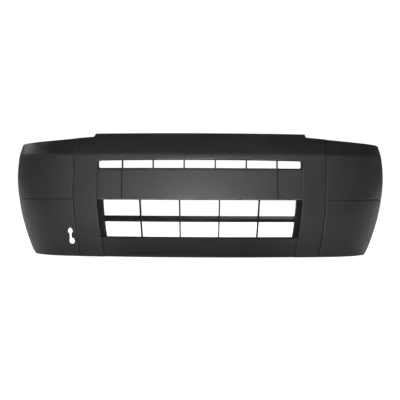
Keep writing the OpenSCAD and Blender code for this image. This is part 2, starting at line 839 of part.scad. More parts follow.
module top_rail() {
    color(metal_grey)
        difference() {
            union() {
                intersection() {
                    sweep(lip_x + 10)
                        polygon([[rail_r2, rail_top], [rail_r1, rail_top], [rail_r1, rail_top - 20],
                            [rail_r1 + 2, rail_top - 20], [rail_r1 + 2, rail_top - 2],
                            [rail_r2, rail_top - 2]]);
                    translate([8 - lip_x, -overall_d / 2, 0])
                        cube([2 * lip_x - 16, overall_d, overall_h]);
                }
                for (i = [-1.5:1:1.5]) {
                    x = i * rail_pitch;
                    y = hub_y - sqrt(rail_r1 * rail_r1 - x * x) - 8;
                    translate([x - 14, y, rail_top - 2])
                        cube([28, rail_hole_y + 12 - y, 2]);
                }
            }
            for (i = [-1.5:1:1.5])
                translate([i * rail_pitch, rail_hole_y, rail_top - 3])
                    cylinder(r = rail_hole_r, h = 4);
            translate([0, 0, rail_top - 4])
                rivet_places()
                    cylinder(r = sleeve_r + running, h = 6);
        }
}

bracket_t = 2.5;
bracket_y = rear_y - wall - 0.1 - bracket_t;
bracket_x1 = half_w - 80;
bracket_x2 = half_w - side_lean - 2 * wall - 1;
wing_mid_z = 0.73 * overall_h;

module wing_bracket() {
    difference() {
        union() {
            translate([bracket_x1, bracket_y, wing_mid_z - 36])
                cube([bracket_x2 - bracket_x1, bracket_t, 72]);
            translate([bracket_x1, bracket_y - 22, wing_mid_z - 36])
                cube([bracket_t, 23, 72]);
        }
        wing_holes(screw_r + 0.2, 12);
        for (s = [-0.5, 0.5])
            translate([bracket_x1 + 20, bracket_y - 1, wing_mid_z + s * wing_pitch])
                rotate([-90, 0, 0])
                    cylinder(r = wing_hole_r, h = bracket_t + 2);
    }
}

module wing_bracket_right() {
    color(metal_grey)
        wing_bracket();
}

module wing_bracket_left() {
    color(metal_grey)
        mirror([1, 0, 0])
            wing_bracket();
}

// ---- Screws and spring nuts

module seam_screw_set() {
    for (z = seam_hole_zs)
        on_seam(z)
            translate([-wall, 0, 0])
                rotate([0, 90, 0])
                    screw(2 * wall + seat + 8);
}

module seam_screws_right() {
    color(metal_grey)
        seam_screw_set();
}

module seam_screws_left() {
    color(metal_grey)
        mirror([1, 0, 0])
            seam_screw_set();
}

module spring_nut_set() {
    for (z = seam_hole_zs)
        on_seam(z)
            translate([wall + seat + 0.02, 0, 0])
                rotate([0, 90, 0])
                    difference() {
                        union() {
                            translate([-8, -6, 0])
                                cube([16, 12, 1]);
                            cylinder(r1 = screw_r * 2.4, r2 = screw_r * 1.6, h = 3);
                        }
                        translate([0, 0, -1])
                            cylinder(r = screw_r + 0.03, h = 6);
                    }
}

module spring_nuts_right() {
    color(metal_grey)
        spring_nut_set();
}

module spring_nuts_left() {
    color(metal_grey)
        mirror([1, 0, 0])
            spring_nut_set();
}

module upper_grille_screws() {
    color(metal_grey)
        for (p = top_at)
            back_screw(p[0], p[1], p[2]);
}

module plate_panel_screws() {
    color(metal_grey)
        for (p = plate_at)
            back_screw(p[0], p[1], p[2]);
}

module infill_screws() {
    color(metal_grey)
        for (p = both(infill_at))
            back_screw(p[0], p[1], p[2]);
}

module lower_grille_screws() {
    color(metal_grey)
        for (p = both(flank_at))
            back_screw(p[0], p[1], p[2]);
}

module valance_screws() {
    color(metal_grey)
        for (p = concat(under_at, both(foot_at)))
            back_screw(p[0], p[1], p[2]);
}

module bracket_screw_set() {
    for (z = wing_zs)
        translate([wing_screw_x, bracket_y, z])
            rotate([-90, 0, 0])
                screw(bracket_t + 0.1 + wall);
}

module bracket_screws_right() {
    color(metal_grey)
        bracket_screw_set();
}

module bracket_screws_left() {
    color(metal_grey)
        mirror([1, 0, 0])
            bracket_screw_set();
}

// ---- Push rivets, counted from the left

module rivet_place(i) {
    translate([0, hub_y, 0])
        rotate([0, 0, asin((i - 3) * rivet_pitch / rivet_r)])
            translate([0, -rivet_r, flange_top])
                children();
}

module rivet_sleeve(i) {
    color(clip_black)
        rivet_place(i)
            difference() {
                union() {
                    cylinder(r = sleeve_r * 2.2, h = 1.6);
                    translate([0, 0, -13])
                        cylinder(r = sleeve_r, h = 14);
                    translate([0, 0, -15])
                        cylinder(r1 = sleeve_r * 0.8, r2 = sleeve_r, h = 2);
                }
                translate([0, 0, -16])
                    cylinder(r = pin_r + running, h = 20);
                translate([0, 0, 0.6])
                    cylinder(r = sleeve_r * 1.5 + 0.3, h = 3);
                for (a = [45, 135])
                    rotate([0, 0, a])
                        translate([-0.6, -6, -16])
                            cube([1.2, 12, 9]);
            }
}

module rivet_pin(i) {
    color(clip_black)
        rivet_place(i)
            union() {
                translate([0, 0, 0.6])
                    cylinder(r = sleeve_r * 1.5, h = 1.4);
                translate([0, 0, -13])
                    cylinder(r = pin_r, h = 14);
                translate([0, 0, -15])
                    cylinder(r1 = pin_r * 0.5, r2 = pin_r, h = 2);
            }
}

module rivet_sleeve_1() {
    rivet_sleeve(1);
}

module rivet_sleeve_2() {
    rivet_sleeve(2);
}

module rivet_sleeve_3() {
    rivet_sleeve(3);
}

module rivet_sleeve_4() {
    rivet_sleeve(4);
}

module rivet_sleeve_5() {
    rivet_sleeve(5);
}

module rivet_pin_1() {
    rivet_pin(1);
}

module rivet_pin_2() {
    rivet_pin(2);
}

module rivet_pin_3() {
    rivet_pin(3);
}

module rivet_pin_4() {
    rivet_pin(4);
}

module rivet_pin_5() {
    rivet_pin(5);
}

centre_skin();
corner_skin_left();
corner_skin_right();
upper_grille();
plate_panel();
infill_left();
infill_right();
lower_grille();
valance();
top_rail();
wing_bracket_left();
wing_bracket_right();
seam_screws_left();
seam_screws_right();
spring_nuts_left();
spring_nuts_right();
upper_grille_screws();
plate_panel_screws();
infill_screws();
lower_grille_screws();
valance_screws();
bracket_screws_left();
bracket_screws_right();
rivet_sleeve_1();
rivet_sleeve_2();
rivet_sleeve_3();
rivet_sleeve_4();
rivet_sleeve_5();
rivet_pin_1();
rivet_pin_2();
rivet_pin_3();
rivet_pin_4();
rivet_pin_5();
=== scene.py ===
import math
import bpy
import bmesh
import numpy as np
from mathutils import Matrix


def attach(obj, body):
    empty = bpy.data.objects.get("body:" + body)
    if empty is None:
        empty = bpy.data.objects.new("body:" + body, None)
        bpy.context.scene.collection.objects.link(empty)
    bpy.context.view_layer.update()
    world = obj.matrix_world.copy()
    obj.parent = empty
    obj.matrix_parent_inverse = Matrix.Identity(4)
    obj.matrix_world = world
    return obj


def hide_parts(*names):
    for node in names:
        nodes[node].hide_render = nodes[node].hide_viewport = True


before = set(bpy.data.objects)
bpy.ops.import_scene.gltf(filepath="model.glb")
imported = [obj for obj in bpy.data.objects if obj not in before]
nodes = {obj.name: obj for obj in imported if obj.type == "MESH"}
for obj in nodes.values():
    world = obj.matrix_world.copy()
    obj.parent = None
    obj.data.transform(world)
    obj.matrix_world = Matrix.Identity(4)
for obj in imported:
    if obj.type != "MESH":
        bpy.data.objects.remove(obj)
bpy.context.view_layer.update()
print("frame loaded,", len(nodes), "nodes")

# overall form of the cover, metres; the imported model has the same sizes
form = {
    "halfWidth": 0.850, "height": 0.535, "depth": 0.460, "frontRadius": 2.000,
    "wall": 0.0032, "proud": 0.004, "fit": 0.0004, "sideLength": 0.010,
    "bellyZ": 0.1712, "sideBellyZ": 0.34775, "creaseZ": 0.44191, "creaseSoftness": 0.012,
    "frontTuck": 0.032, "sideTuck": 0.074, "frontLean": 0.022, "sideLean": 0.008,
    "frontRun": 0.095, "sideRun": 0.030, "waistZ": 0.27499,
    "seamX": 0.54315, "seamIn": 0.032, "recessX": 0.43945, "recessIn": 0.031,
    "lipX": 0.45985, "lipStep": 0.014, "sideDrop": 0.029,
    "bandZ": 0.41837, "crown": 0.003, "slotZ": 0.377175, "mouthZ": 0.24824, "sillZ": 0.083995,
    "panelSet": 0.005, "plateX": 0.33235,
}
height, wall, frontR = form["height"], form["wall"], form["frontRadius"]
half, fit = form["halfWidth"], form["fit"]
plateX, recessX = form["plateX"], form["recessX"]
quarter = math.pi / 2
# set of the front: the panel's depth and what the lean adds at the panel's low edge; then the
# hub of the front circle, and the corner circle that meets it on the tangent and ends at the side
frontSet = form["panelSet"] + form["frontLean"] * (
    (form["mouthZ"] + fit - form["bellyZ"]) / (form["creaseZ"] - form["bellyZ"])) ** 1.7
startY = form["proud"] - frontSet - form["depth"] / 2
hubY = startY + frontR
cornerY = form["depth"] + frontSet - form["proud"] - form["sideLength"]
cornerR = (frontR ** 2 - half ** 2 - (frontR - cornerY) ** 2) / (2 * (frontR - half))
cornerX = half - cornerR
turn = math.atan2(cornerX, frontR - cornerY)


# a plus t times the difference to b
def mix(a, b, t):
    return a + (b - a) * t


# smooth step: three t squared less two t cubed
def soft(t):
    t = np.clip(t, 0.0, 1.0)
    return t * t * (3.0 - 2.0 * t)


# distance in from the plan curve: one power of the height under the belly, one up to the
# crease and a nearly straight run above it, each mixed from front to side by w
def sharpInset(z, w):
    belly = mix(form["bellyZ"], form["sideBellyZ"], w)
    under = np.maximum(belly - z, 0.0) / belly
    over = np.clip((z - belly) / (form["creaseZ"] - belly), 0.0, 1.0)
    run = np.maximum(z - form["creaseZ"], 0.0) / (height - form["creaseZ"])
    return (mix(form["frontTuck"], form["sideTuck"], w) * under ** mix(1.6, 1.8, w)
            + mix(form["frontLean"], form["sideLean"], w) * over ** 1.7
            + mix(form["frontRun"], form["sideRun"], w) * run ** 1.1)


# the sharp inset averaged over a short height, which rounds the crease
def inset(z, w=0.0):
    z, w = np.broadcast_arrays(np.asarray(z, float), w)
    steps = np.linspace(-0.5, 0.5, 7) * form["creaseSoftness"]
    return sum(sharpInset(z + s, w) for s in steps) / len(steps)


# radius of the face about the hub: the front circle and its stand less the inset
def faceRadius(z):
    return frontR + form["proud"] - inset(z)


# how far the seam and the recess's side have come in at z: a power of the drop below the waist
def waistDrop(z):
    return (np.maximum(form["waistZ"] - z, 0) / form["waistZ"]) ** 1.5


def seamAt(z):
    return form["seamX"] - form["seamIn"] * waistDrop(z)


def recessAt(z):
    return recessX - form["recessIn"] * waistDrop(z)


# how far the crowned top of the recess has fallen at x: a parabola
def fallAt(x):
    return form["crown"] * (x / recessX) ** 2


# height of the top edge past the lip: a straight fall towards the side
def topEdge(x):
    return height - form["lipStep"] - form["sideDrop"] * (x - form["lipX"]) / (half - form["lipX"])


# point of the centre: x and z as given, y on a circle about the hub whose radius is the
# face's at zRef less the depth
def centrePoint(x, z, depth, zRef=None):
    r = faceRadius(z if zRef is None else zRef) - depth
    y = hubY - np.sqrt(r * r - np.square(x))
    return np.stack(np.broadcast_arrays(x, y, z), -1)


# point of the plan curve moved in by d: a circle about the hub up to the turn, then the
# tighter circle of the corner
def planPoint(th, d):
    front = th < turn
    x = np.where(front, (frontR - d) * np.sin(th), cornerX + (cornerR - d) * np.sin(th))
    y = np.where(front, hubY - (frontR - d) * np.cos(th), startY + cornerY - (cornerR - d) * np.cos(th))
    return x, y


# 0 over the front and 1 at the sides: a smooth step of the heading
def sideness(th):
    return soft((th - turn) / (math.radians(78) - turn))


# quads of a grid of rows by columns, joined round either way where asked
def gridFaces(rows, cols, roundRows=False, roundCols=False):
    a, b = np.meshgrid(np.arange(rows if roundRows else rows - 1),
                       np.arange(cols if roundCols else cols - 1), indexing="ij")
    c, d = (a + 1) % rows, (b + 1) % cols
    return np.stack([a * cols + b, a * cols + d, c * cols + d, c * cols + b], -1).reshape(-1, 4)


# corners of a closed outline cut back by r and joined by parabolas; the second result is 1
# on the parabolas' middles and 0 on their ends, for wear and painted highlight on rounded edges
def soften(loop, r, steps=3):
    p = np.asarray(loop, float)
    a, b = np.roll(p, 1, 0) - p, np.roll(p, -1, 0) - p
    la, lb = np.linalg.norm(a, axis=1)[:, None], np.linalg.norm(b, axis=1)[:, None]
    r = np.broadcast_to(np.asarray(r, float), len(p))[:, None]
    start, end = p + a / la * np.minimum(r, la * 0.45), p + b / lb * np.minimum(r, lb * 0.45)
    t = np.linspace(0, 1, steps + 1)[None, :, None]
    points = (1 - t) ** 2 * start[:, None] + 2 * t * (1 - t) * p[:, None] + t * t * end[:, None]
    wornAndPaintedLight = np.tile(4 * t[0, :, 0] * (1 - t[0, :, 0]), len(p))
    return points.reshape(-1, 2), wornAndPaintedLight


# extra points set evenly along the long edges of a closed outline
def refine(loop, step):
    ends = np.roll(loop, -1, 0)
    counts = np.maximum(1, np.ceil(np.linalg.norm(ends - loop, axis=1) / step)).astype(int)
    return np.concatenate([a + (b - a) * np.linspace(0, 1, n, endpoint=False)[:, None]
                           for a, b, n in zip(loop, ends, counts)])


# a closed section at each place of a path: a grid of quads, with flat caps on an open path
def tube(points, wornAndPaintedLight=None, closed=False):
    n, m = points.shape[:2]
    faces = gridFaces(n, m, closed, True).tolist()
    if not closed:
        faces += [list(range(m)), list(range(n * m - 1, (n - 1) * m - 1, -1))]
    wornAndPaintedLight = np.zeros(m) if wornAndPaintedLight is None else wornAndPaintedLight
    return points.reshape(-1, 3), faces, np.broadcast_to(wornAndPaintedLight, (n, m)).reshape(-1)


# a sheet given a wall: the second face lies one wall behind the first along the grid's own
# normals, and strips of quads close the rim
def shell(sheet, thick, wornAndPaintedLight, inward):
    n, m = sheet.shape[:2]
    normal = np.cross(np.gradient(sheet, axis=0), np.gradient(sheet, axis=1))
    normal /= np.maximum(np.linalg.norm(normal, axis=2, keepdims=True), 1e-12)
    if (normal * inward).sum() < 0:
        normal = -normal
    back = sheet + normal * thick
    back[..., 2] = np.maximum(back[..., 2], 0.0)
    front = gridFaces(n, m)
    rim = np.concatenate([np.arange(m), np.arange(2 * m - 1, n * m, m),
                          np.arange(n * m - 2, (n - 1) * m - 1, -1), np.arange((n - 2) * m, 0, -m)])
    around = np.stack([rim, rim + n * m, np.roll(rim, -1) + n * m, np.roll(rim, -1)], -1)
    faces = np.concatenate([front, front[:, ::-1] + n * m, around]).tolist()
    return np.concatenate([sheet.reshape(-1, 3), back.reshape(-1, 3)]), faces, np.tile(wornAndPaintedLight.reshape(-1), 2)


# a profile of radius and run turned about an axis, local x and z across it and y along it
def lathe(profile, steps, wornAndPaintedLight=None):
    a = np.linspace(0, 2 * np.pi, steps, endpoint=False)[:, None]
    r, y = np.asarray(profile, float).T
    points = np.stack([r * np.cos(a), y + 0 * a, r * np.sin(a)], -1)
    faces = gridFaces(steps, len(r), True, False).tolist()
    wornAndPaintedLight = np.zeros(len(r)) if wornAndPaintedLight is None else np.asarray(wornAndPaintedLight, float)
    return points.reshape(-1, 3), faces, np.broadcast_to(wornAndPaintedLight, (steps, len(r))).reshape(-1)


# edges sharper than the angle rounded by a bevel of two segments
def roundEdges(piece, width, angle):
    edge = piece.modifiers.new("roundedEdges", "BEVEL")
    edge.width, edge.segments = width, 2
    edge.limit_method, edge.angle_limit = "ANGLE", math.radians(angle)


def evenShading(piece):
    piece.modifiers.new("evenShading", "WEIGHTED_NORMAL").keep_sharp = False


# sharpest turn left alone, in degrees, and widths of the rounded edges
edgeAngle, skinEdge, panelEdge, grilleEdge = 50, 0.0007, 0.0008, 0.0003


# one mesh from several shells: doubles merged, normals outward, wear and painted light kept on the vertices
def makePiece(name, shells, finish, bevel, replaced):
    points, faces, wornAndPaintedLight, start = [], [], [], 0
    for p, f, w in shells:
        points.append(p)
        wornAndPaintedLight.append(w)
        faces += [[start + v for v in face] for face in f]
        start += len(p)
    mesh = bpy.data.meshes.new(name)
    mesh.from_pydata(np.concatenate(points).tolist(), [], faces)
    wearAndPaintedLight = mesh.attributes.new("wearAndPaintedLight", "FLOAT", "POINT")
    wearAndPaintedLight.data.foreach_set("value", np.concatenate(wornAndPaintedLight).astype(np.float32))
    bm = bmesh.new()
    bm.from_mesh(mesh)
    bmesh.ops.remove_doubles(bm, verts=bm.verts, dist=1e-6)
    bmesh.ops.dissolve_degenerate(bm, edges=bm.edges, dist=1e-7)
    bmesh.ops.recalc_face_normals(bm, faces=bm.faces)
    bm.to_mesh(mesh)
    bm.free()
    mesh.polygons.foreach_set("use_smooth", np.ones(len(mesh.polygons), bool))
    mesh.materials.append(finish)
    piece = bpy.data.objects.new(name, mesh)
    bpy.context.scene.collection.objects.link(piece)
    if bevel:
        roundEdges(piece, bevel, edgeAngle)
        evenShading(piece)
    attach(piece, "cover")
    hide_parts(replaced)
    print("made", name, len(mesh.polygons), "faces")
    return piece


# a socket whose operators add Math nodes
class Wire:
    def __init__(self, tree, socket):
        self.tree, self.socket = tree, socket

    def maths(self, operation, *values):
        node = self.tree.nodes.new("ShaderNodeMath")
        node.operation = operation
        for i, value in enumerate(values):
            if isinstance(value, Wire):
                self.tree.links.new(value.socket, node.inputs[i])
            else:
                node.inputs[i].default_value = value
        return Wire(self.tree, node.outputs[0])

    def clamp(self, low=0.0, high=1.0):
        return self.maths("MINIMUM", self.maths("MAXIMUM", self, low), high)


# the operators, and the same with the two values swapped for a number on the left
for sign, kind in {"add": "ADD", "sub": "SUBTRACT", "mul": "MULTIPLY", "pow": "POWER"}.items():
    setattr(Wire, f"__{sign}__", lambda self, other, kind=kind: self.maths(kind, self, other))
    setattr(Wire, f"__r{sign}__", lambda self, other, kind=kind: self.maths(kind, other, self))


# one material and its node tree
class Finish:
    def __init__(self, name):
        self.material = bpy.data.materials.new(name)
        self.material.use_nodes = True
        self.tree = self.material.node_tree
        self.tree.nodes.clear()
        self.place = self.add("ShaderNodeTexCoord", {}, {}, "Object")

    # any node: its settings first, then its sockets' values or links; gives one output
    def add(self, kind, settings, inputs, output=0):
        node = self.tree.nodes.new(kind)
        for key, value in settings.items():
            setattr(node, key, value)
        for key, value in inputs.items():
            if isinstance(value, Wire):
                self.tree.links.new(value.socket, node.inputs[key])
            else:
                node.inputs[key].default_value = value
        return Wire(self.tree, node.outputs[output]) if len(node.outputs) else None

    def noise(self, scale, detail=3.0, rough=0.5, place=None):
        return self.add("ShaderNodeTexNoise", {}, {
            "Vector": place or self.place, "Scale": scale, "Detail": detail, "Roughness": rough}, "Fac")

    def stretched(self, scale):
        return self.add("ShaderNodeMapping", {}, {"Vector": self.place, "Scale": scale})

    # colour mixed from low to high by the factor; low and high are triples or wires
    def tint(self, factor, low, high):
        low, high = (c if isinstance(c, Wire) else (*c, 1.0) for c in (low, high))
        return self.add("ShaderNodeMix", {"data_type": "RGBA"}, {0: factor, 6: low, 7: high}, 2)

    def bump(self, heightWire, strength, distance, below=None):
        inputs = {"Height": heightWire, "Strength": strength, "Distance": distance}
        if below:
            inputs["Normal"] = below
        return self.add("ShaderNodeBump", {}, inputs, "Normal")

    def surface(self, inputs):
        shader = self.add("ShaderNodeBsdfPrincipled", {}, inputs, "BSDF")
        self.add("ShaderNodeOutputMaterial", {}, {"Surface": shader})
        return self.material


# darkest and lightest base colour, colour of wear and painted highlight, grain cells to the metre, roughness,
# grain depth and shine of each moulded finish; painted-light ends are where the tone starts to rise and its
# run
finishes = {
    "skinPlastic": {
        "low": (0.026, 0.026, 0.027), "high": (0.036, 0.036, 0.037), "wornAndPaintedLight": (0.075, 0.075, 0.077),
        "grain": 1100, "rough": 0.42, "depth": 0.00025, "shine": 0.42},
    # lighter than the skin's colours: painted light standing in for the highlight on the plate panel
    "panelPlastic": {
        "low": (0.030, 0.030, 0.031), "high": (0.041, 0.041, 0.042), "wornAndPaintedLight": (0.080, 0.080, 0.082),
        "grain": 1300, "rough": 0.42, "depth": 0.0002, "shine": 0.42},
    "grillePlastic": {
        "low": (0.0045, 0.0045, 0.0048), "high": (0.0085, 0.0085, 0.009), "wornAndPaintedLight": (0.026, 0.026, 0.027),
        "grain": 1500, "rough": 0.56, "depth": 0.00015, "shine": 0.2},
    # the valance's tone is painted darker over its middle and paler towards its ends: painted shade and
    # painted highlight
    "valancePlastic": {
        "low": (0.009, 0.009, 0.0093), "high": (0.046, 0.046, 0.047), "wornAndPaintedLight": (0.06, 0.06, 0.062),
        "grain": 1300, "rough": 0.54, "depth": 0.0002, "shine": 0.3, "paintedLightEnds": (0.18, 0.28)},
}
# colour of the painted shade laid into gaps, seams and hollows
gapPaintedShadeColour = (0.002, 0.002, 0.002)


# grained moulding: cell edges and fine noise make the grain, broad noise the drift of tone,
# streaked noise the flow of the plastic, and the wear attribute lightens the edges as wear and as painted
# highlight, or below nought darkens the gaps and hollows as painted shade; with painted-light ends the tone
# rises as the square of the distance past a start
def mouldedPlastic(name):
    look = finishes[name]
    f = Finish(name)
    cells = f.add("ShaderNodeTexVoronoi", {"feature": "SMOOTH_F1"},
                  {"Vector": f.place, "Scale": look["grain"], "Smoothness": 0.6}, "Distance")
    fine = f.noise(look["grain"] * 2.3, 2.0)
    broad = f.noise(2.6, 3.0, 0.55)
    patch = f.noise(24.0, 4.0, 0.6)
    flow = f.noise(1.0, 3.0, 0.6, f.stretched((2.0, 2.0, 34.0)))
    rubbed = f.noise(160.0, 4.0, 0.65)
    wearAndPaintedLight = f.add("ShaderNodeAttribute", {"attribute_name": "wearAndPaintedLight"}, {}, "Fac")
    # edges lightened by noise-broken wear, and on seam chamfers and groove edges by painted highlight
    edge = (wearAndPaintedLight.clamp() * (rubbed * 2.4 - 0.6)).clamp()
    # below nought the attribute marks painted shade in gaps, seams and hollows
    gapPaintedShade = (wearAndPaintedLight * -1.0).clamp()
    dust = (f.noise(420.0, 2.0) * 5.0 - 3.1).clamp() * (broad * 3.0 - 1.0).clamp()
    tone = (broad * 0.5 + patch * 0.3 + flow * 0.2 + cells * 0.25 - 0.1).clamp()
    # painted light on the valance: dark over the middle as painted shade, rising towards the ends as painted
    # highlight
    if "paintedLightEnds" in look:
        begin, run = look["paintedLightEnds"]
        side = f.add("ShaderNodeSeparateXYZ", {}, {0: f.place}, "X")
        past = (((side * side) ** 0.5 - begin) * (1 / run)).clamp()
        tone = (tone * 0.3 + past * past * 0.8).clamp()
    base = f.tint(tone, look["low"], look["high"])
    colour = f.tint((edge * 0.55 + dust * 0.16).clamp(), base, look["wornAndPaintedLight"])
    # painted shade darkens the colour in the gaps and hollows
    colour = f.tint(gapPaintedShade * 0.92, colour, gapPaintedShadeColour)
    rough = (look["rough"] + (patch - 0.5) * 0.16 + (flow - 0.5) * 0.08 - edge * 0.1 + dust * 0.2
             + gapPaintedShade * 0.5).clamp(0.2, 1.0)
    leather = f.bump(cells * 0.8 + fine * 0.35, 0.35, look["depth"])
    normal = f.bump(patch + broad * 0.6, 0.12, 0.0012, leather)
    return f.surface({"Base Color": colour, "Roughness": rough, "Normal": normal,
                      "IOR": 1.48, "Specular IOR Level": look["shine"]})


# darkest and lightest base colour, chip colour, metal, roughness and noise scale of the hardware
hardware = {
    "coatedSteel": {"low": (0.016, 0.016, 0.017), "high": (0.028, 0.028, 0.030),
                    "chip": (0.22, 0.21, 0.20), "metal": 0.0, "rough": 0.42, "scale": 700},
    "zincSteel": {"low": (0.46, 0.45, 0.42), "high": (0.62, 0.61, 0.58),
                  "chip": (0.34, 0.30, 0.22), "metal": 1.0, "rough": 0.36, "scale": 1800},
    "springSteel": {"low": (0.07, 0.07, 0.072), "high": (0.13, 0.13, 0.135),
                    "chip": (0.30, 0.28, 0.25), "metal": 0.85, "rough": 0.48, "scale": 1500},
    "satinRivet": {"low": (0.013, 0.013, 0.014), "high": (0.022, 0.022, 0.023),
                   "chip": (0.09, 0.09, 0.09), "metal": 0.0, "rough": 0.38, "scale": 2200},
}


# coated or plated part: noise drives tone and gloss, sparse high noise the chips, and a
# stretched noise the rolling marks
def hardwareFinish(name):
    look = hardware[name]
    f = Finish(name)
    fine = f.noise(look["scale"], 3.0, 0.6)
    broad = f.noise(30.0, 3.0)
    marks = f.noise(260.0, 2.0, 0.5, f.stretched((0.08, 1.0, 1.0)))
    chips = (f.noise(95.0, 5.0, 0.7) * 9.0 - 6.1).clamp()
    tone = (fine * 0.4 + broad * 0.6).clamp()
    base = f.tint(tone, look["low"], look["high"])
    colour = f.tint(chips * 0.7, base, look["chip"])
    rough = (look["rough"] + (broad - 0.5) * 0.2 + (marks - 0.5) * 0.12 + chips * 0.15).clamp(0.15, 0.9)
    normal = f.bump(fine * 0.6 + marks * 0.4 - chips * 0.5, 0.25, 0.00012)
    return f.surface({"Base Color": colour, "Roughness": rough, "Normal": normal,
                      "Metallic": look["metal"]})


skinPlastic, panelPlastic, grillePlastic, valancePlastic = (mouldedPlastic(n) for n in finishes)
coatedSteel, zincSteel, springSteel, satinRivet = (hardwareFinish(n) for n in hardware)
print("finishes ready")


# fixings that the mouldings carry: the bosses, their holes, the drilled tabs, and where they sit,
# as heights, offsets from an edge or shares of the recess's half width
fixing = {
    "tabDepth": 0.028, "gap": 0.0003, "bossR": 0.0052, "holeR": 0.0022, "screwHoleR": 0.00203,
    "thread": 0.008, "tabWidth": 0.024, "tabRound": 0.003, "tabStep": 0.004, "sideOut": 0.017,
    "topShares": (0.3, 0.88), "topRise": 0.014, "slotDrop": 0.017, "mouthRise": 0.015,
    "flankHeights": (0.13375, 0.20865), "underShares": (0.25, 0.7), "underDrop": 0.015,
    "footHeight": 0.0428,
}


# local point to the frame: turned to the fixing's heading about the hub, stood off by depth
def standOff(place, points, depth):
    x, z, zRef = place
    r = float(faceRadius(zRef))
    a = math.asin(x / (r - fixing["tabDepth"]))
    lx, ly = points[:, 0], points[:, 1] + depth - r
    return np.stack([lx * math.cos(a) - ly * math.sin(a),
                     hubY + lx * math.sin(a) + ly * math.cos(a), points[:, 2] + z], -1)


# boss: a solid of revolution with a blind hole, from inside the skin to just off the tab
def bossShell(place, skin):
    x, z, zRef = place
    tip = fixing["tabDepth"] - fixing["gap"]
    long = float(faceRadius(z) - faceRadius(zRef)) + tip - skin
    r, h, deep = fixing["bossR"], fixing["screwHoleR"], fixing["thread"] + 0.001
    profile = [(0, -long), (r + 0.0015, -long), (r + 0.0004, -long + 0.002), (r, -long + 0.005),
               (r, -0.0006), (r - 0.0006, 0), (h + 0.0005, 0), (h, -0.0005), (h, -deep),
               (0, -deep - 0.001)]
    p, f, w = lathe(profile, 28, [0, 0, 0, 0, 0, 1, 1, 0, 0, 0])
    return standOff(place, p, tip), f, w


# tab: a softened rectangle set off its hole by dx and dz, a closed ring of quads between the
# two outlines
def tabShell(place, w, h, dx=0.0, dz=0.0):
    outline, _ = soften([(dx - w / 2, dz - h / 2), (dx + w / 2, dz - h / 2), (dx + w / 2, dz + h / 2),
                         (dx - w / 2, dz + h / 2)], fixing["tabRound"], 4)
    outer = refine(outline, fixing["tabStep"])
    inner = outer / np.linalg.norm(outer, axis=1)[:, None] * fixing["holeR"]
    ring = [(outer, 0.0), (outer, wall), (inner, wall), (inner, 0.0)]
    grid = np.stack([np.stack([p[:, 0], np.full(len(p), y), p[:, 1]], -1) for p, y in ring], 1)
    p, f, wearAndPaintedLight = tube(grid, closed=True)
    return standOff(place, p, fixing["tabDepth"]), f, wearAndPaintedLight


# places of fixings, each x, z and the height whose radius sets its depth, on both sides
def both(places):
    return places + [(-x, z, r) for x, z, r in places]


# two places on one upright line, under the slot and over the mouth
def slotAndMouth(x):
    return [(x, form["slotZ"] - fixing["slotDrop"], form["slotZ"]),
            (x, form["mouthZ"] + fixing["mouthRise"], form["mouthZ"])]


def beside(z):
    return float(recessAt(z)) + fixing["sideOut"], z, z


topPlaces = both([(k * recessX, form["bandZ"] + fixing["topRise"], form["bandZ"])
                  for k in fixing["topShares"]])
platePlaces = both(slotAndMouth(0.5 * plateX))
infillPlaces = both(slotAndMouth((plateX + recessX) / 2))
flankPlaces = both([beside(z) for z in fixing["flankHeights"]])
underPlaces = both([(k * recessX, form["sillZ"] - fixing["underDrop"], form["sillZ"])
                    for k in fixing["underShares"]])
footPlaces = both([beside(fixing["footHeight"])])
upperTabs = [p for p in platePlaces + infillPlaces if p[2] == form["slotZ"]]
lowerTabs = [p for p in platePlaces + infillPlaces if p[2] == form["mouthZ"]]


# centre moulding: its edges, then where one stretch of rays gives way to the next, and their counts
centre = {
    "fillet": 0.0042, "return": 0.016, "cornerR": 0.012, "roll": 0.0036, "flange": 0.030,
    "flangeFade": 0.024, "flangeX": 0.505, "edgeReturn": 0.006, "topZ": 0.5335, "faceSteps": 46,
    "fanZ": 0.350, "fanDrop": 0.040, "fanX": 0.500, "stepOutX": 0.402, "stepInX": 0.399,
    "stepRun": 0.004, "rays": (84, 22, 10, 10, 12, 4, 96),
}


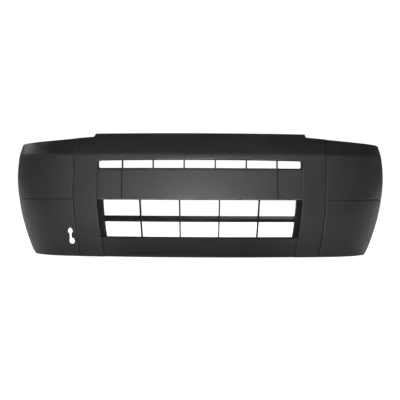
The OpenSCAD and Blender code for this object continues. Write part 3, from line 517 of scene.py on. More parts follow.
# pairs of outline points, inner on the recess and outer on the seam or the top, laid along
# straight stretches: level across the pillar, fanned at its head, upright over the band
def centreRays():
    c = centre
    flatX = recessX - c["cornerR"]
    arcZ = form["bandZ"] - fallAt(flatX) - c["cornerR"]
    cornerZ = float(topEdge(form["seamX"]))
    rows = []

    def stretch(n, inner, outer, innerOut, outerIn, last=False):
        t = np.linspace(0, 1, n, endpoint=last)
        rows.append(np.stack([*inner(t), *outer(t), *innerOut(t), *outerIn(t)], -1))

    def line(a, b):
        return lambda t: (mix(a[0], b[0], t), mix(a[1], b[1], t))

    seamSide = lambda z0, z1: (lambda t: (seamAt(mix(z0, z1, t)), mix(z0, z1, t)))
    recessSide = lambda z0, z1: (lambda t: (recessAt(mix(z0, z1, t)), mix(z0, z1, t)))
    band = lambda x0, x1: (lambda t: (mix(x0, x1, t), form["bandZ"] - fallAt(mix(x0, x1, t))))
    top = lambda x0, x1: (lambda t: (mix(x0, x1, t), topEdge(mix(x0, x1, t))))
    arc = lambda a0, a1: (lambda t: (flatX + c["cornerR"] * np.cos(mix(a0, a1, t)),
                                     arcZ + c["cornerR"] * np.sin(mix(a0, a1, t))))
    turned = lambda a0, a1: (lambda t: (np.cos(mix(a0, a1, t)), np.sin(mix(a0, a1, t))))
    right, left, up, down = (line(d, d) for d in ((1, 0), (-1, 0), (0, 1), (0, -1)))
    eighth, n = quarter / 2, c["rays"]
    fanZ, headZ = c["fanZ"], cornerZ - c["fanDrop"]
    stepX, lipEnd = form["lipX"] + c["stepRun"], (form["lipX"], c["topZ"])
    stretch(n[0], recessSide(0, fanZ), seamSide(0, fanZ), right, left)
    stretch(n[1], recessSide(fanZ, arcZ), seamSide(fanZ, headZ), right, left)
    stretch(n[2], arc(0, eighth), seamSide(headZ, cornerZ), turned(0, eighth), line((-1, 0), (-1, -1)))
    stretch(n[3], arc(eighth, quarter), top(form["seamX"], c["fanX"]), turned(eighth, quarter),
            line((-1, -1), (0, -1)))
    stretch(n[4], band(flatX, c["stepOutX"]), top(c["fanX"], stepX), up, down)
    stretch(n[5], band(c["stepOutX"], c["stepInX"]), line((stepX, float(topEdge(stepX))), lipEnd), up, down)
    stretch(n[6], band(c["stepInX"], 0.0), line(lipEnd, (0, c["topZ"])), up, down, True)
    rays = np.concatenate(rows)
    return np.concatenate([rays, rays[-2::-1] * np.array([-1, 1, -1, 1, -1, 1, -1, 1])])


# section along each ray: return, fillet, face, roll and flange, as an in-plane place and a depth
def centreSheet():
    c = centre
    rays = centreRays()
    inner, outer, out, into = (rays[:, None, k:k + 2] for k in (0, 2, 4, 6))
    a = np.linspace(0, quarter, 6)
    onSeam = soft((topEdge(form["seamX"]) - outer[:, :, 1]) / c["flangeFade"])
    onSeam = onSeam * (np.abs(outer[:, :, 0]) > c["flangeX"])
    deep = mix(c["edgeReturn"], c["flange"], onSeam)
    # recess side, from the back of the return to the face
    turnIn = a[::-1]
    backOff = np.concatenate([np.zeros(4), c["fillet"] * (1 - np.sin(turnIn))])
    backDepth = np.concatenate([np.linspace(c["return"], c["fillet"] * 1.3, 4),
                                c["fillet"] * (1 - np.cos(turnIn))])
    first = inner + out * backOff[None, :, None]
    # face, with the columns drawn a little towards both edges
    t = np.linspace(0, 1, c["faceSteps"] + 1)[1:-1]
    t = mix(t, soft(t), 0.35)
    start, end = inner + out * c["fillet"], outer + into * c["roll"]
    middle = start + (end - start) * t[None, :, None]
    # roll and flange
    rollOff = np.concatenate([c["roll"] * (1 - np.sin(a)), np.zeros(6)])
    last = outer + into * rollOff[None, :, None]
    lastDepth = np.concatenate([np.broadcast_to(c["roll"] * (1 - np.cos(a)), (len(rays), 6)),
                                mix(c["roll"], deep, np.linspace(0, 1, 7)[None, 1:])], 1)
    flat = np.concatenate([first, middle, last], 1)
    depth = np.concatenate([np.broadcast_to(backDepth, (len(rays), len(backDepth))),
                            np.zeros(middle.shape[:2]), lastDepth], 1)
    # the fillet and roll are lightened in their middles as wear and darkened towards the hollow as painted
    # shade; the return and the back flange are painted dark as painted shade
    arcWearAndPaintedShade = np.sin(2 * a) ** 0.7 - 0.9 * (a / a[-1]) ** 2
    wornAndPaintedLight = np.concatenate([np.full(4, -1.0), arcWearAndPaintedShade[::-1], np.zeros(len(t)), arcWearAndPaintedShade * 0.7,
                           np.full(6, -1.0)])
    return centrePoint(flat[..., 0], flat[..., 1], depth), np.broadcast_to(wornAndPaintedLight, flat.shape[:2])


# lip: each corner of its section as the drop of the height whose face radius it is measured
# from, the distance outward from there, the distance below the top and the rounding
lip = {"steps": 160, "corners": [
    (0.004, 0.0006, 0.0042, 0.0008), (0, 0.0006, 0.0004, 0.0008), (0, -0.001, 0, 0.0006),
    (0, -0.006, 0, 0.0012), (0, -0.009, 0.005, 0.0012), (0, -0.040, 0.005, 0.001),
    (0, -0.040, 0.008, 0.001), (0, -0.0045, 0.008, 0.001), (0.004, -0.0035, 0.009, 0.0006)]}


# the lip's closed section, the bead, the step and the flange, carried about the hub
def lipShell():
    section, wornAndPaintedLight = soften([(float(faceRadius(height - drop)) + out, height - below)
                            for drop, out, below, _ in lip["corners"]], [c[3] for c in lip["corners"]])
    x = np.linspace(-form["lipX"], form["lipX"], lip["steps"])[:, None]
    r, z = section[:, 0][None], section[:, 1][None]
    points = np.stack(np.broadcast_arrays(x, hubY - np.sqrt(r * r - x * x), z), -1)
    return tube(points, wornAndPaintedLight)


sheet, wornAndPaintedLight = centreSheet()
centreShells = [shell(sheet, wall, wornAndPaintedLight, np.array([0.0, 1.0, 0.0])), lipShell()]
centreShells += [bossShell(p, 0.002) for p in topPlaces + flankPlaces + footPlaces]
makePiece("centre_skin_face", centreShells, skinPlastic, skinEdge, "centre_skin")


# corner mouldings: the seam profile runs from the flange's back to the face, as distance from the
# seam and depth in millimetres; the line rows are heights about the groove in millimetres
corner = {
    "rowStep": 0.0042, "faceSteps": 110, "edgeColumns": 12, "roll": 0.0036, "archFlange": 0.026,
    "archTurn": 28.0, "toeTurn": 5.0, "archZ": 0.3424, "toeZ": 0.02675, "crestInset": 0.040,
    "lineZ": 0.24931, "lineDepth": 0.0019, "lineHalf": 0.0050, "topReturn": 0.006,
    "seamProfile": [(0.3, 34), (0.3, 27), (0.3, 20), (0.3, 13), (0.3, 7.4), (0.4, 5.2), (0.8, 4.2),
                    (1.6, 3.4), (2.8, 2.55), (4.1, 1.7), (5.3, 0.95), (6.5, 0.38), (7.6, 0.08),
                    (9.0, 0.0)],
    "lineRows": [-5, -3.8, -2.9, -2.0, -1.2, -0.5, 0, 0.5, 1.2, 2.0, 2.9, 3.8, 5],
}


# heading of the corner's far edge: a right angle less a power of the drop below the arch
def headEnd(z):
    c = corner
    under = np.maximum(c["archZ"] - z, 0) / c["archZ"]
    toe = np.maximum(c["toeZ"] - z, 0) / c["toeZ"]
    return np.radians(90 - c["archTurn"] * under ** 1.4 - c["toeTurn"] * toe ** 2)


# right-hand corner: rows of height by columns that run flange, chamfer, face, roll and arch flange
def cornerSheet():
    c = corner
    chamfer = np.array(c["seamProfile"]) / 1000
    faceX = chamfer[-1, 0]
    lines = c["lineZ"] + np.array(c["lineRows"]) / 1000
    low = np.concatenate([np.arange(0, c["lineZ"] - 0.008, c["rowStep"]), lines,
                          np.linspace(c["lineZ"] + 0.009, form["creaseZ"], 46)])
    high = np.linspace(0, 1, 26)[1:]
    a = np.linspace(0, quarter, 5)[1:]
    q = np.linspace(0, 1, c["faceSteps"])[None, :]
    # x of each column where it meets the top, which sets the height of the rows above the crease
    headTop = mix(math.asin((form["seamX"] + faceX) / frontR), quarter, q)
    sideX = planPoint(np.array([quarter]), c["crestInset"])[0][0]
    topX = np.concatenate([form["seamX"] + chamfer[None, :, 0], planPoint(headTop[:, 1:], c["crestInset"])[0],
                           np.full((1, c["edgeColumns"]), sideX)], 1)
    crest = topEdge(topX) - c["roll"]
    zLow = np.broadcast_to(low[:, None], (len(low), topX.shape[1]))
    zHigh = mix(form["creaseZ"], crest, high[:, None])
    zRoll = crest + c["roll"] * np.sin(a)[:, None]
    zBack = np.repeat(zRoll[-1:], 3, 0)
    z = np.concatenate([zLow, zHigh, zRoll, zBack])
    extra = np.concatenate([np.zeros(len(low) + len(high)), c["roll"] * (1 - np.cos(a)),
                            np.linspace(c["roll"], c["topReturn"] + c["roll"], 4)[1:]])[:, None]
    nSeam, nFace = len(chamfer), c["faceSteps"] - 1
    notch = c["lineDepth"] * soft(1 - np.abs(z - c["lineZ"]) / c["lineHalf"])
    # seam side
    zs = z[:, :nSeam]
    xs = seamAt(zs) + chamfer[None, :, 0]
    fade = soft((chamfer[:, 0] - 0.002) / 0.006)[None, :]
    r = frontR - inset(zs) - chamfer[None, :, 1] - extra - notch[:, :nSeam] * fade
    ys = hubY - np.sqrt(r * r - xs * xs)
    # face
    zf = z[:, nSeam:nSeam + nFace]
    th = mix(np.arcsin((seamAt(zf) + faceX) / (frontR - inset(zf))), headEnd(zf), q[:, 1:])
    w = sideness(th)
    xf, yf = planPoint(th, inset(zf, w) + notch[:, nSeam:nSeam + nFace] + extra)
    # far edge: along the tangent, a roll, then the flange inwards
    a2 = np.linspace(0, quarter, 6)
    back = np.concatenate([[0.003], form["sideLength"] - c["roll"] * (1 - np.sin(a2)),
                           np.full(5, form["sideLength"])])
    into = np.concatenate([[0], c["roll"] * (1 - np.cos(a2)), np.linspace(c["roll"], c["archFlange"], 6)[1:]])
    ze = z[:, -c["edgeColumns"]:]
    the = headEnd(ze)
    we = sideness(the)
    keep = 1 - soft(into / 0.004)
    xe, ye = planPoint(the, inset(ze, we) + notch[:, -c["edgeColumns"]:] * keep + extra * (into < 0.02))
    xe = xe + np.cos(the) * back - np.sin(the) * into
    ye = ye + np.sin(the) * back + np.cos(the) * into
    points = np.stack([np.concatenate(p, 1) for p in ((xs, xf, xe), (ys, yf, ye), (zs, zf, ze))], -1)
    # seam chamfer: its deep part painted dark as painted shade in the seam and its front edge painted pale as
    # painted highlight; the far roll lightened as wear
    columnWearAndPaintedLight = np.concatenate([np.interp(chamfer[:, 0] * 1000, [1.6, 2.8, 4.1, 5.3, 6.5, 7.6, 9.0],
                                         [-1, -0.8, -0.4, 0, 0.4, 0.2, 0]), np.zeros(nFace),
                               [0], np.sin(2 * a2) ** 0.7, np.zeros(5)])
    wornRows = np.concatenate([np.zeros(len(low) + len(high)), np.sin(2 * a) ** 0.7, np.zeros(3)])
    # the groove: its upper edge painted pale as painted highlight, its floor painted dark as painted shade
    above = z - c["lineZ"]
    groovePaintedLight = 0.5 * (soft(1 - np.abs(above - c["lineHalf"]) / 0.0018) - soft(1 - np.abs(above) / 0.0036))
    return points, np.clip(columnWearAndPaintedLight[None, :] + wornRows[:, None] + groovePaintedLight, -1, 1)


# towing slot: the upper circle's place and radius, the lower one's radius, drop and shift, the
# neck between, and the cap on the upper circle as shares of its radius
tow = {"x": 0.5593, "z": 0.10914, "r1": 0.011, "r2": 0.013, "drop": 0.042, "shift": 0.005,
       "neck": 0.010, "capRise": 0.6, "capSize": 0.7, "steps": 90, "reach": 0.035}


# outline of the slot seen square on: at each height the widest of the two circles, the cap
# and the neck
def towOutline():
    t = tow
    capZ, capR = t["r1"] * t["capRise"], t["r1"] * t["capSize"]
    z = np.sin(np.linspace(-quarter, quarter, t["steps"]))
    z = mix(-t["drop"] - t["r2"], capZ + capR, (z + 1) / 2)

    def reach(cx, cz, r):
        return np.where(np.abs(z - cz) < r, np.sqrt(np.maximum(r * r - (z - cz) ** 2, 0)), -9.0) + cx

    neck = np.where((z < 0) & (z > -t["drop"]), t["neck"] / 2, -9.0)
    right, left = (np.max([reach(0, 0, t["r1"]), reach(0, capZ, capR), neck,
                           reach(shift, -t["drop"], t["r2"])], 0) for shift in (-t["shift"], t["shift"]))
    return np.concatenate([np.stack([right, z], -1)[1:-1], np.stack([-left, z], -1)[-2:0:-1]])


# the slot's outline pushed through the wall square to the face
def towCutter():
    t = tow
    th = math.asin(t["x"] / frontR)
    cx, cy = planPoint(np.array([th]), inset(t["z"]))
    outline = towOutline()
    run = np.array([[-t["reach"]], [t["reach"]]])
    lx, lz = outline[None, :, 0], outline[None, :, 1]
    points = np.stack(np.broadcast_arrays(cx[0] + lx * math.cos(th) - run * math.sin(th),
                                          cy[0] + lx * math.sin(th) + run * math.cos(th), t["z"] + lz), -1)
    return tube(points * mirrored)


mirrored = np.array([-1.0, 1.0, 1.0])
inRight = np.array([-0.5, 0.85, 0.0])
cornerPoints, cornerWearAndPaintedLight = cornerSheet()
makePiece("corner_skin_right_face", [shell(cornerPoints, wall, cornerWearAndPaintedLight, inRight)],
          skinPlastic, skinEdge, "corner_skin_right")
leftPiece = makePiece("corner_skin_left_face",
                      [shell(cornerPoints * mirrored, wall, cornerWearAndPaintedLight, inRight * mirrored)],
                      skinPlastic, 0.0, "corner_skin_left")


# takes the slot out of the left corner, then puts the edge modifiers after the cut
def cutSlot(piece, cutterShell):
    mesh = bpy.data.meshes.new("slotCutter")
    mesh.from_pydata(cutterShell[0].tolist(), [], cutterShell[1])
    bm = bmesh.new()
    bm.from_mesh(mesh)
    bmesh.ops.recalc_face_normals(bm, faces=bm.faces)
    bm.to_mesh(mesh)
    bm.free()
    cutter = bpy.data.objects.new("slotCutter", mesh)
    bpy.context.scene.collection.objects.link(cutter)
    cut = piece.modifiers.new("slot", "BOOLEAN")
    cut.operation, cut.solver, cut.object = "DIFFERENCE", "EXACT", cutter
    bpy.context.view_layer.update()
    done = bpy.data.meshes.new_from_object(piece.evaluated_get(bpy.context.evaluated_depsgraph_get()))
    old = piece.data
    piece.modifiers.clear()
    piece.data = done
    done.name = old.name + "_cut"
    bpy.data.meshes.remove(old)
    bpy.data.objects.remove(cutter)
    bpy.data.meshes.remove(mesh)
    done.polygons.foreach_set("use_smooth", np.ones(len(done.polygons), bool))
    roundEdges(piece, skinEdge, edgeAngle)
    evenShading(piece)
    print("slot cut,", len(done.polygons), "faces")


cutSlot(leftPiece, towCutter())


# a frame between two outlines of equal count: a closed section with rounded front corners, each
# point given as side, distance in from that side, depth and wear
def frameShell(outer, inner, front, back, r=0.001):
    across = inner - outer
    across = across / np.maximum(np.linalg.norm(across, axis=1), 1e-9)[:, None]
    middle = mix(front, back, 0.5)
    section = [(0, 0, front + r, 0), (0, 0.3 * r, front + 0.3 * r, 1), (0, r, front, 0),
               (1, r, front, 0), (1, 0.3 * r, front + 0.3 * r, 1), (1, 0, front + r, 0),
               (1, 0, middle, 0), (1, 0, back - r / 2, 0), (1, r / 2, back, 0.5),
               (0, r / 2, back, 0.5), (0, 0, back - r / 2, 0), (0, 0, middle, 0)]
    flat = np.stack([inner - across * s[1] if s[0] else outer + across * s[1] for s in section], 1)
    depth = np.array([s[2] for s in section])[None, :]
    return tube(centrePoint(flat[..., 0], flat[..., 1], depth), np.array([s[3] for s in section]), True)


# an upright fin: a softened section of width and depth carried up a line of x and z
def finShell(x, z, w, front, back, r=0.0012):
    section, wornAndPaintedLight = soften([(-w / 2, front), (w / 2, front), (w / 2, back), (-w / 2, back)],
                           [r, r, r / 2, r / 2])
    return tube(centrePoint(x[:, None] + section[None, :, 0], z[:, None] + 0 * section[None, :, 0],
                            section[None, :, 1]), wornAndPaintedLight)


# upper grille: its fins, the frame's rims and corners, and the heights of its tabs
upper = {"fins": 6, "finWidth": 0.0055, "rim": 0.0025, "lowRim": 0.006, "sideRim": 0.005,
         "cornerR": 0.0116, "innerR": 0.007, "footR": 0.001, "footDrop": 0.002, "edgeSteps": 90,
         "pitchSpare": 0.57, "topTab": 0.022, "topTabSpare": 0.0024, "lowTab": 0.0254, "lowTabRise": 0.0047}


# rounded outline with a crowned top, points turning anticlockwise from the lower left
def crownedOutline(halfX, z1, z2, lowR, highR, count):
    a = np.linspace(0, quarter, 7)
    lowX, highX = halfX - lowR, halfX - highR
    topZ = z2 - fallAt(highX) - highR
    bottom = np.stack([np.linspace(-lowX, lowX, count), np.full(count, z1)], -1)
    top = np.stack([np.linspace(highX, -highX, count), z2 - fallAt(np.linspace(highX, -highX, count))], -1)
    lowRight = np.stack([lowX + lowR * np.sin(a), z1 + lowR - lowR * np.cos(a)], -1)
    highRight = np.stack([highX + highR * np.cos(a), topZ + highR * np.sin(a)], -1)
    highLeft, lowLeft = highRight[::-1] * (-1, 1), lowRight[::-1] * (-1, 1)
    return np.concatenate([bottom[:-1], lowRight, highRight[:-1], top[:-1], highLeft, lowLeft[:-1]])


slotLow, slotHigh = form["slotZ"] - upper["footDrop"], form["bandZ"] - fit
windowX = recessX - fit - upper["sideRim"]
upperOuter = crownedOutline(recessX - fit, slotLow, slotHigh, upper["footR"], upper["cornerR"],
                            upper["edgeSteps"])
upperInner = crownedOutline(windowX, slotLow + upper["lowRim"], slotHigh - upper["rim"],
                            upper["innerR"], upper["innerR"], upper["edgeSteps"])
upperBack = fixing["tabDepth"] + wall
pitch = 2 * windowX / (upper["fins"] + upper["pitchSpare"])
upperShells = [frameShell(upperOuter, upperInner, form["panelSet"], upperBack)]
for i in range(upper["fins"]):
    x = (i - (upper["fins"] - 1) / 2) * pitch
    z = np.linspace(slotLow + 0.001, slotHigh - 0.001 - float(fallAt(x)), 6)
    upperShells.append(finShell(np.full(6, x), z, upper["finWidth"], form["panelSet"] + 0.0004,
                                upperBack - 0.0004))
for p in topPlaces:
    low = fit + float(fallAt(p[0])) + upper["topTabSpare"]
    upperShells.append(tabShell(p, fixing["tabWidth"], upper["topTab"] + low, 0.0,
                                (upper["topTab"] - low) / 2 - fixing["topRise"]))
upperShells += [tabShell(p, fixing["tabWidth"], upper["lowTab"], 0.0, upper["lowTabRise"])
                for p in upperTabs]
makePiece("upper_grille_frame", upperShells, grillePlastic, grilleEdge, "upper_grille")


# plate panel and infills: their height, wall and returns, the gap between and the lap behind it
panel = {"low": form["mouthZ"] + fit, "high": form["slotZ"] - 0.0024, "thick": 0.003,
         "plateReturn": 0.012, "infillReturn": 0.011, "infillSet": 0.001, "gap": 0.0045,
         "rim": 0.0012, "edgeR": 0.0022, "backR": 0.0008, "flatR": 0.0002,
         "lapFront": 0.0034, "lapThick": 0.002, "lapIn": 0.008, "lapOut": 0.003, "lapShort": 0.0035,
         "lapClear": 0.0001}


# channel: a face that follows the body between two returns, as a softened closed section of
# depth and height
def channelSection(front, deep):
    low, high, t = panel["low"], panel["high"], panel["thick"]
    z = np.linspace(low, high, 9)
    zi = np.linspace(high - t, low + t, 9)
    back = front + deep
    section = np.concatenate([np.stack([np.full(9, front), z], -1), [(back, high), (back, high - t)],
                              np.stack([np.full(9, front + t), zi], -1), [(back, low + t), (back, low)]])
    r = np.full(len(section), panel["flatR"])
    r[[0, 8]] = panel["edgeR"]
    r[[9, 10, 20, 21]] = panel["backR"]
    return soften(section, r, 4)


# the section carried between two x limits that may lean with height, its ends painted dark as painted shade
# in the gaps
def channelShell(front, deep, leftX, rightX, steps):
    section, wornAndPaintedLight = channelSection(front, deep)
    # the front edges keep their lightening, wear and painted highlight
    wornAndPaintedLight = wornAndPaintedLight * (section[:, 0] < front + panel["thick"])
    z = section[None, :, 1]
    rim = panel["rim"] / float(np.mean(rightX(z) - leftX(z)))
    k = np.concatenate([[0.0, rim], np.linspace(0, 1, steps)[1:-1], [1 - rim, 1.0]])[:, None]
    wornAndPaintedLight = np.where((k == 0) | (k == 1), -1.0, wornAndPaintedLight)
    x = mix(leftX(z), rightX(z), k)
    return tube(centrePoint(x, z + 0 * k, section[None, :, 0]), wornAndPaintedLight)


plateEnd, infillStart = plateX - panel["gap"] / 2, plateX + panel["gap"] / 2
plateShells = [channelShell(form["panelSet"], panel["plateReturn"], lambda z: -plateEnd + 0 * z,
                            lambda z: plateEnd + 0 * z, 100)]
plateShells += [bossShell(p, form["panelSet"] + 0.0015) for p in platePlaces]
makePiece("plate_panel_face", plateShells, panelPlastic, panelEdge, "plate_panel")


# lap strip: a flat bar behind the gap between the plate panel and the infill, from x0 to x1 and
# short of the panel's height by e at each end, painted dark all over as painted shade behind the gap
def lapShell(x0, x1, e):
    front = form["panelSet"] + panel["lapFront"]
    back = front + panel["lapThick"]
    section, wornAndPaintedLight = soften([(x0, front), (x1, front), (x1, back), (x0, back)], 0.0005, 2)
    z = np.linspace(panel["low"] + e, panel["high"] - e, 10)[:, None]
    return tube(centrePoint(section[None, :, 0], z + 0 * section[None, :, 0], section[None, :, 1]),
                np.full(len(wornAndPaintedLight), -1.0))


lapEnd = plateX + panel["lapOut"]
infillShells = [channelShell(form["panelSet"] + panel["infillSet"], panel["infillReturn"],
                             lambda z: infillStart + 0 * z, lambda z: recessAt(z) - fit, 24),
                lapShell(plateX - panel["lapIn"], lapEnd, panel["lapShort"]),
                lapShell(plateEnd + panel["lapClear"], lapEnd, panel["lapClear"])]
infillShells += [bossShell(p, form["panelSet"] + 0.0025) for p in infillPlaces if p[0] > 0]
makePiece("infill_right_face", infillShells, panelPlastic, panelEdge, "infill_right")
makePiece("infill_left_face", [(p * mirrored, f, w) for p, f, w in infillShells],
          panelPlastic, panelEdge, "infill_left")


# lower grille: the frame's set, depth, flanks and bars, its fins, its blade and its tabs; a tab
# is its width or height and how far its middle is off its hole
lower = {"set": 0.008, "depth": 0.056, "side": 0.022, "bar": 0.003, "frameR": 0.0014,
         "edgeSteps": 90, "columns": 5, "finWidth": 0.0055, "finSet": 0.003, "finShift": 0.6,
         "bladeZ": 0.15194, "bladeHeight": 0.013, "bladeRise": 0.013, "bladeIn": 0.003,
         "tab": (0.026, 0.004), "flankTab": (0.034, 0.009)}


# outline of the mouth, its sides leaning with the recess, smaller by e at the sides and by f
# above and below
def mouthOutline(e, f, count):
    z = np.linspace(form["sillZ"] + f, form["mouthZ"] - f, 40)
    x = recessAt(z) - e
    bottom = np.stack([np.linspace(-x[0], x[0], count), np.full(count, z[0])], -1)
    top = np.stack([np.linspace(x[-1], -x[-1], count), np.full(count, z[-1])], -1)
    right = np.stack([x, z], -1)
    return np.concatenate([bottom[:-1], right[:-1], top[:-1], (right * (-1, 1))[::-1][:-1]])


lowerBack = lower["set"] + lower["depth"]
lowerShells = [frameShell(mouthOutline(fit, 0, lower["edgeSteps"]),
                          mouthOutline(fit + lower["side"], lower["bar"], lower["edgeSteps"]),
                          lower["set"], lowerBack, lower["frameR"])]
for i in range(1, lower["columns"]):
    k = 2 * i / lower["columns"] - 1
    z = np.linspace(form["sillZ"] + 0.001, form["mouthZ"] - 0.001, 24)
    x = k * (mix(recessAt(form["sillZ"]), recessAt(form["mouthZ"]),
                 (z - form["sillZ"]) / (form["mouthZ"] - form["sillZ"])) - lower["finShift"] * lower["side"])
    lowerShells.append(finShell(x, z, lower["finWidth"], lower["set"] + lower["finSet"],
                                lowerBack - lower["finSet"]))


# blade: a folded closed section of depth and height, upright lip first, carried across the mouth
def bladeShell():
    z0, h, rise = lower["bladeZ"], lower["bladeHeight"], lower["bladeRise"]
    f = lower["set"] + 0.001
    section, wornAndPaintedLight = soften([(f, z0), (f, z0 + h), (f + 0.034, z0 + h + rise),
                            (f + 0.036, z0 + h + rise - 0.003), (f + 0.004, z0 + h - 0.004),
                            (f + 0.0035, z0)], [0.001, 0.0022, 0.001, 0.001, 0.0012, 0.001], 4)
    k = np.linspace(-1, 1, 120)[:, None]
    z = section[None, :, 1]
    x = k * (recessAt(z) - fit - lower["bladeIn"])
    return tube(centrePoint(x, z + 0 * k, section[None, :, 0], np.full_like(z, z0)), wornAndPaintedLight)


lowerShells.append(bladeShell())


# a tab beside the recess, drawn out towards the middle by the off
def sideTab(place, size):
    long, off = size
    return tabShell(place, long, fixing["tabWidth"], -off if place[0] > 0 else off)


tabHigh, tabOff = lower["tab"]
lowerShells += [tabShell(p, fixing["tabWidth"], tabHigh, 0.0, -tabOff) for p in lowerTabs]
lowerShells += [tabShell(p, fixing["tabWidth"], tabHigh, 0.0, tabOff) for p in underPlaces]
lowerShells += [sideTab(p, lower["flankTab"]) for p in flankPlaces]
makePiece("lower_grille_frame", lowerShells, grillePlastic, grilleEdge, "lower_grille")


# valance: set, top, wall and return, its bead's corners as depth off the face and height, the
# bead's roundings, the foot tab, and the link as its x limits and half height
valance = {"set": 0.010, "top": form["sillZ"] - fit, "thick": 0.003, "low": 0.012, "return": 0.014,
           "bead": [(0.002, 0.0052), (0.012, 0.0032), (0.012, 0.0002), (-0.0005, 0.0002),
                    (-0.003, 0.0022), (-0.003, 0.0066)],
           "beadR": [0.002, 0.001, 0.001, 0.002, 0.0016, 0.0024], "endShare": 0.9965,
           "footTab": (0.038, 0.011), "link": (-0.029, -0.023, 0.010)}


# valance: a return, the face and a rolled bead as one softened closed section carried across
def valanceShell():
    s, low, top, t = (valance[key] for key in ("set", "low", "top", "thick"))
    back = s + valance["return"]
    outer = np.stack([np.full(9, s), np.linspace(low, top, 9)], -1)
    inner = np.stack([np.full(9, s + t), np.linspace(top - t, low, 9)], -1)
    section = np.concatenate([outer, [(back, top), (back, top - t)], inner,
                              [(s + d, z) for d, z in valance["bead"]]])
    r = np.full(len(section), panel["flatR"])
    r[8] = panel["edgeR"]
    r[[9, 10, 11]] = panel["backR"]
    r[-len(valance["beadR"]):] = valance["beadR"]
    section, wornAndPaintedLight = soften(section, r, 4)
    end = valance["endShare"]
    k = np.concatenate([[-1.0, -end], np.linspace(-1, 1, 128)[1:-1], [end, 1.0]])[:, None]
    z = section[None, :, 1]
    # the end columns painted dark as painted shade in the gaps beside the pillars
    wornAndPaintedLight = np.where(np.abs(k) == 1, -1.0, wornAndPaintedLight)
    return tube(centrePoint(k * (recessAt(z) - fit), z + 0 * k, section[None, :, 0]), wornAndPaintedLight)


# foot link: a block that joins the foot tab to the valance's face, local to the foot screw
def linkShell(place):
    side = 1 if place[0] > 0 else -1
    x0, x1, tall = valance["link"]
    deep = fixing["tabDepth"] - valance["set"]
    section, _ = soften([(x0, 0), (x1, 0), (x1, deep), (x0, deep)], 0.0006, 2)
    z = np.linspace(-tall, tall, 4)[:, None]
    grid = np.stack(np.broadcast_arrays(side * section[None, :, 0], section[None, :, 1], z), -1)
    p, f, w = tube(grid)
    return standOff(place, p, valance["set"] + 0.001), f, w


valanceShells = [valanceShell()]
valanceShells += [bossShell(p, valance["set"] + 0.0015) for p in underPlaces]
valanceShells += [sideTab(p, valance["footTab"]) for p in footPlaces]
valanceShells += [linkShell(p) for p in footPlaces]
makePiece("valance_face", valanceShells, valancePlastic, 0.0006, "valance")


# hardware carried over: a finish, and a rounded edge where the part is big enough to show one
def dress(names, finish, bevel):
    for name in names:
        node = nodes[name]
        node.data.materials.clear()
        node.data.materials.append(finish)
        if bevel:
            node.modifiers.new("weld", "WELD").merge_threshold = 0.00001
            roundEdges(node, bevel, 40)


dress(["top_rail"], coatedSteel, 0.0005)
dress(["wing_bracket_left", "wing_bracket_right"], coatedSteel, 0.0005)
dress([n for n in nodes if "screws" in n], zincSteel, 0.0)
dress(["spring_nuts_left", "spring_nuts_right"], springSteel, 0.0)
dress([n for n in nodes if n.startswith("rivet_")], satinRivet, 0.0002)
print("hardware dressed")


# floor, room, lights and camera; each light is its place, target, size, power and spread
studio = {
    "floorSize": 80.0, "floorTone": 0.88, "floorDrift": 0.02, "floorGlow": 1.04, "floorBounce": 0.36,
    "horizon": 0.10, "overhead": 0.05, "fadeStart": 0.1, "fadeRate": 2.2, "backdrop": 1.05,
    "lights": {
        "keyLight": ((-0.1, -4.6, 0.14), (0.0, -0.1, 0.16), (1.5, 0.22), 58.0, 180),
        "floorLight": ((0.0, -1.9, 1.7), (0.0, -1.9, 0.0), (1.2, 0.7), 105.0, 50),
        "sideLight": ((-3.2, -3.2, 0.4), (-0.3, -0.1, 0.2), (1.6, 0.7), 10.0, 180),
        "backLight": ((1.2, 4.4, 2.8), (0.0, 0.1, 0.25), (2.4, 1.4), 85.0, 180),
        "backFill": ((-3.4, 3.2, 2.4), (-0.2, 0.1, 0.25), (1.8, 1.2), 26.0, 180),
    },
    "cameraPlace": (0.025, -4.230, 0.264), "cameraAim": (90, -0.25, 0.33), "lens": 85.3,
    "shiftY": -0.011,
}


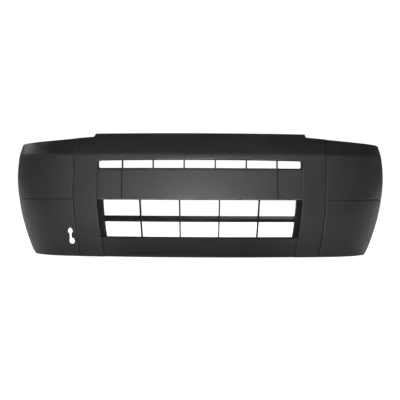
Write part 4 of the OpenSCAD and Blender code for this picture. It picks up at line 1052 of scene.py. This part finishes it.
# floor: one flat square, its tone drifting with broad noise; its glow is white to the camera and
# dimmer to everything else
def makeFloor():
    s = studio["floorSize"] / 2
    mesh = bpy.data.meshes.new("floor")
    mesh.from_pydata([(-s, -s, 0), (s, -s, 0), (s, s, 0), (-s, s, 0)], [], [(0, 1, 2, 3)])
    floor = bpy.data.objects.new("floor", mesh)
    bpy.context.scene.collection.objects.link(floor)
    f = Finish("paleFloor")
    tone = f.noise(0.4, 2.0)
    seen = f.add("ShaderNodeLightPath", {}, {}, "Is Camera Ray")
    glow = f.tint(seen, (studio["floorBounce"],) * 3, (1.0, 1.0, 1.0))
    low, high = studio["floorTone"] - studio["floorDrift"], studio["floorTone"] + studio["floorDrift"]
    mesh.materials.append(f.surface({
        "Base Color": f.tint(tone, (low, low, low), (high, high, high)), "Roughness": 0.9,
        "Specular IOR Level": 0.1, "Emission Color": glow, "Emission Strength": studio["floorGlow"]}))


# area light turned to face its target: tilt from the level run and the drop, heading from x and y
def softLight(name, place, target, size, power, spread):
    data = bpy.data.lights.new(name, "AREA")
    data.shape, data.size, data.size_y, data.energy = "RECTANGLE", size[0], size[1], power
    data.spread = math.radians(spread)
    lamp = bpy.data.objects.new(name, data)
    bpy.context.scene.collection.objects.link(lamp)
    lamp.location = place
    aim = np.asarray(target, float) - np.asarray(place, float)
    flat = math.hypot(aim[0], aim[1])
    lamp.rotation_euler = (math.atan2(flat, -aim[2]), 0.0, math.atan2(-aim[0], aim[1]))


makeFloor()
world = bpy.data.worlds.new("studio")
bpy.context.scene.world = world
world.use_nodes = True


# room: dim grey that fades overhead by the direction's height, behind it a white backdrop
def makeRoom(tree):
    sky = tree.nodes["Background"]
    place = tree.nodes.new("ShaderNodeTexCoord")
    parts = tree.nodes.new("ShaderNodeSeparateXYZ")
    path = tree.nodes.new("ShaderNodeLightPath")
    tree.links.new(place.outputs["Generated"], parts.inputs[0])
    up = Wire(tree, parts.outputs["Z"])
    seen = Wire(tree, path.outputs["Is Camera Ray"])
    fade = ((up - studio["fadeStart"]) * studio["fadeRate"]).clamp()
    room = fade * (studio["overhead"] - studio["horizon"]) + studio["horizon"]
    strength = room + seen * (studio["backdrop"] - room)
    tree.links.new(strength.socket, sky.inputs["Strength"])
    sky.inputs["Color"].default_value = (1.0, 1.0, 1.0, 1.0)


makeRoom(world.node_tree)
for lightName, values in studio["lights"].items():
    softLight(lightName, *values)

bpy.context.scene.view_settings.view_transform = "Standard"
camera = bpy.data.objects.new("camera", bpy.data.cameras.new("camera"))
bpy.context.scene.collection.objects.link(camera)
camera.data.lens, camera.data.sensor_width = studio["lens"], 36.0
camera.data.shift_y = studio["shiftY"]
camera.data.clip_end = 200.0
camera.location = studio["cameraPlace"]
camera.rotation_euler = [math.radians(a) for a in studio["cameraAim"]]
bpy.context.scene.camera = camera
print("studio ready")
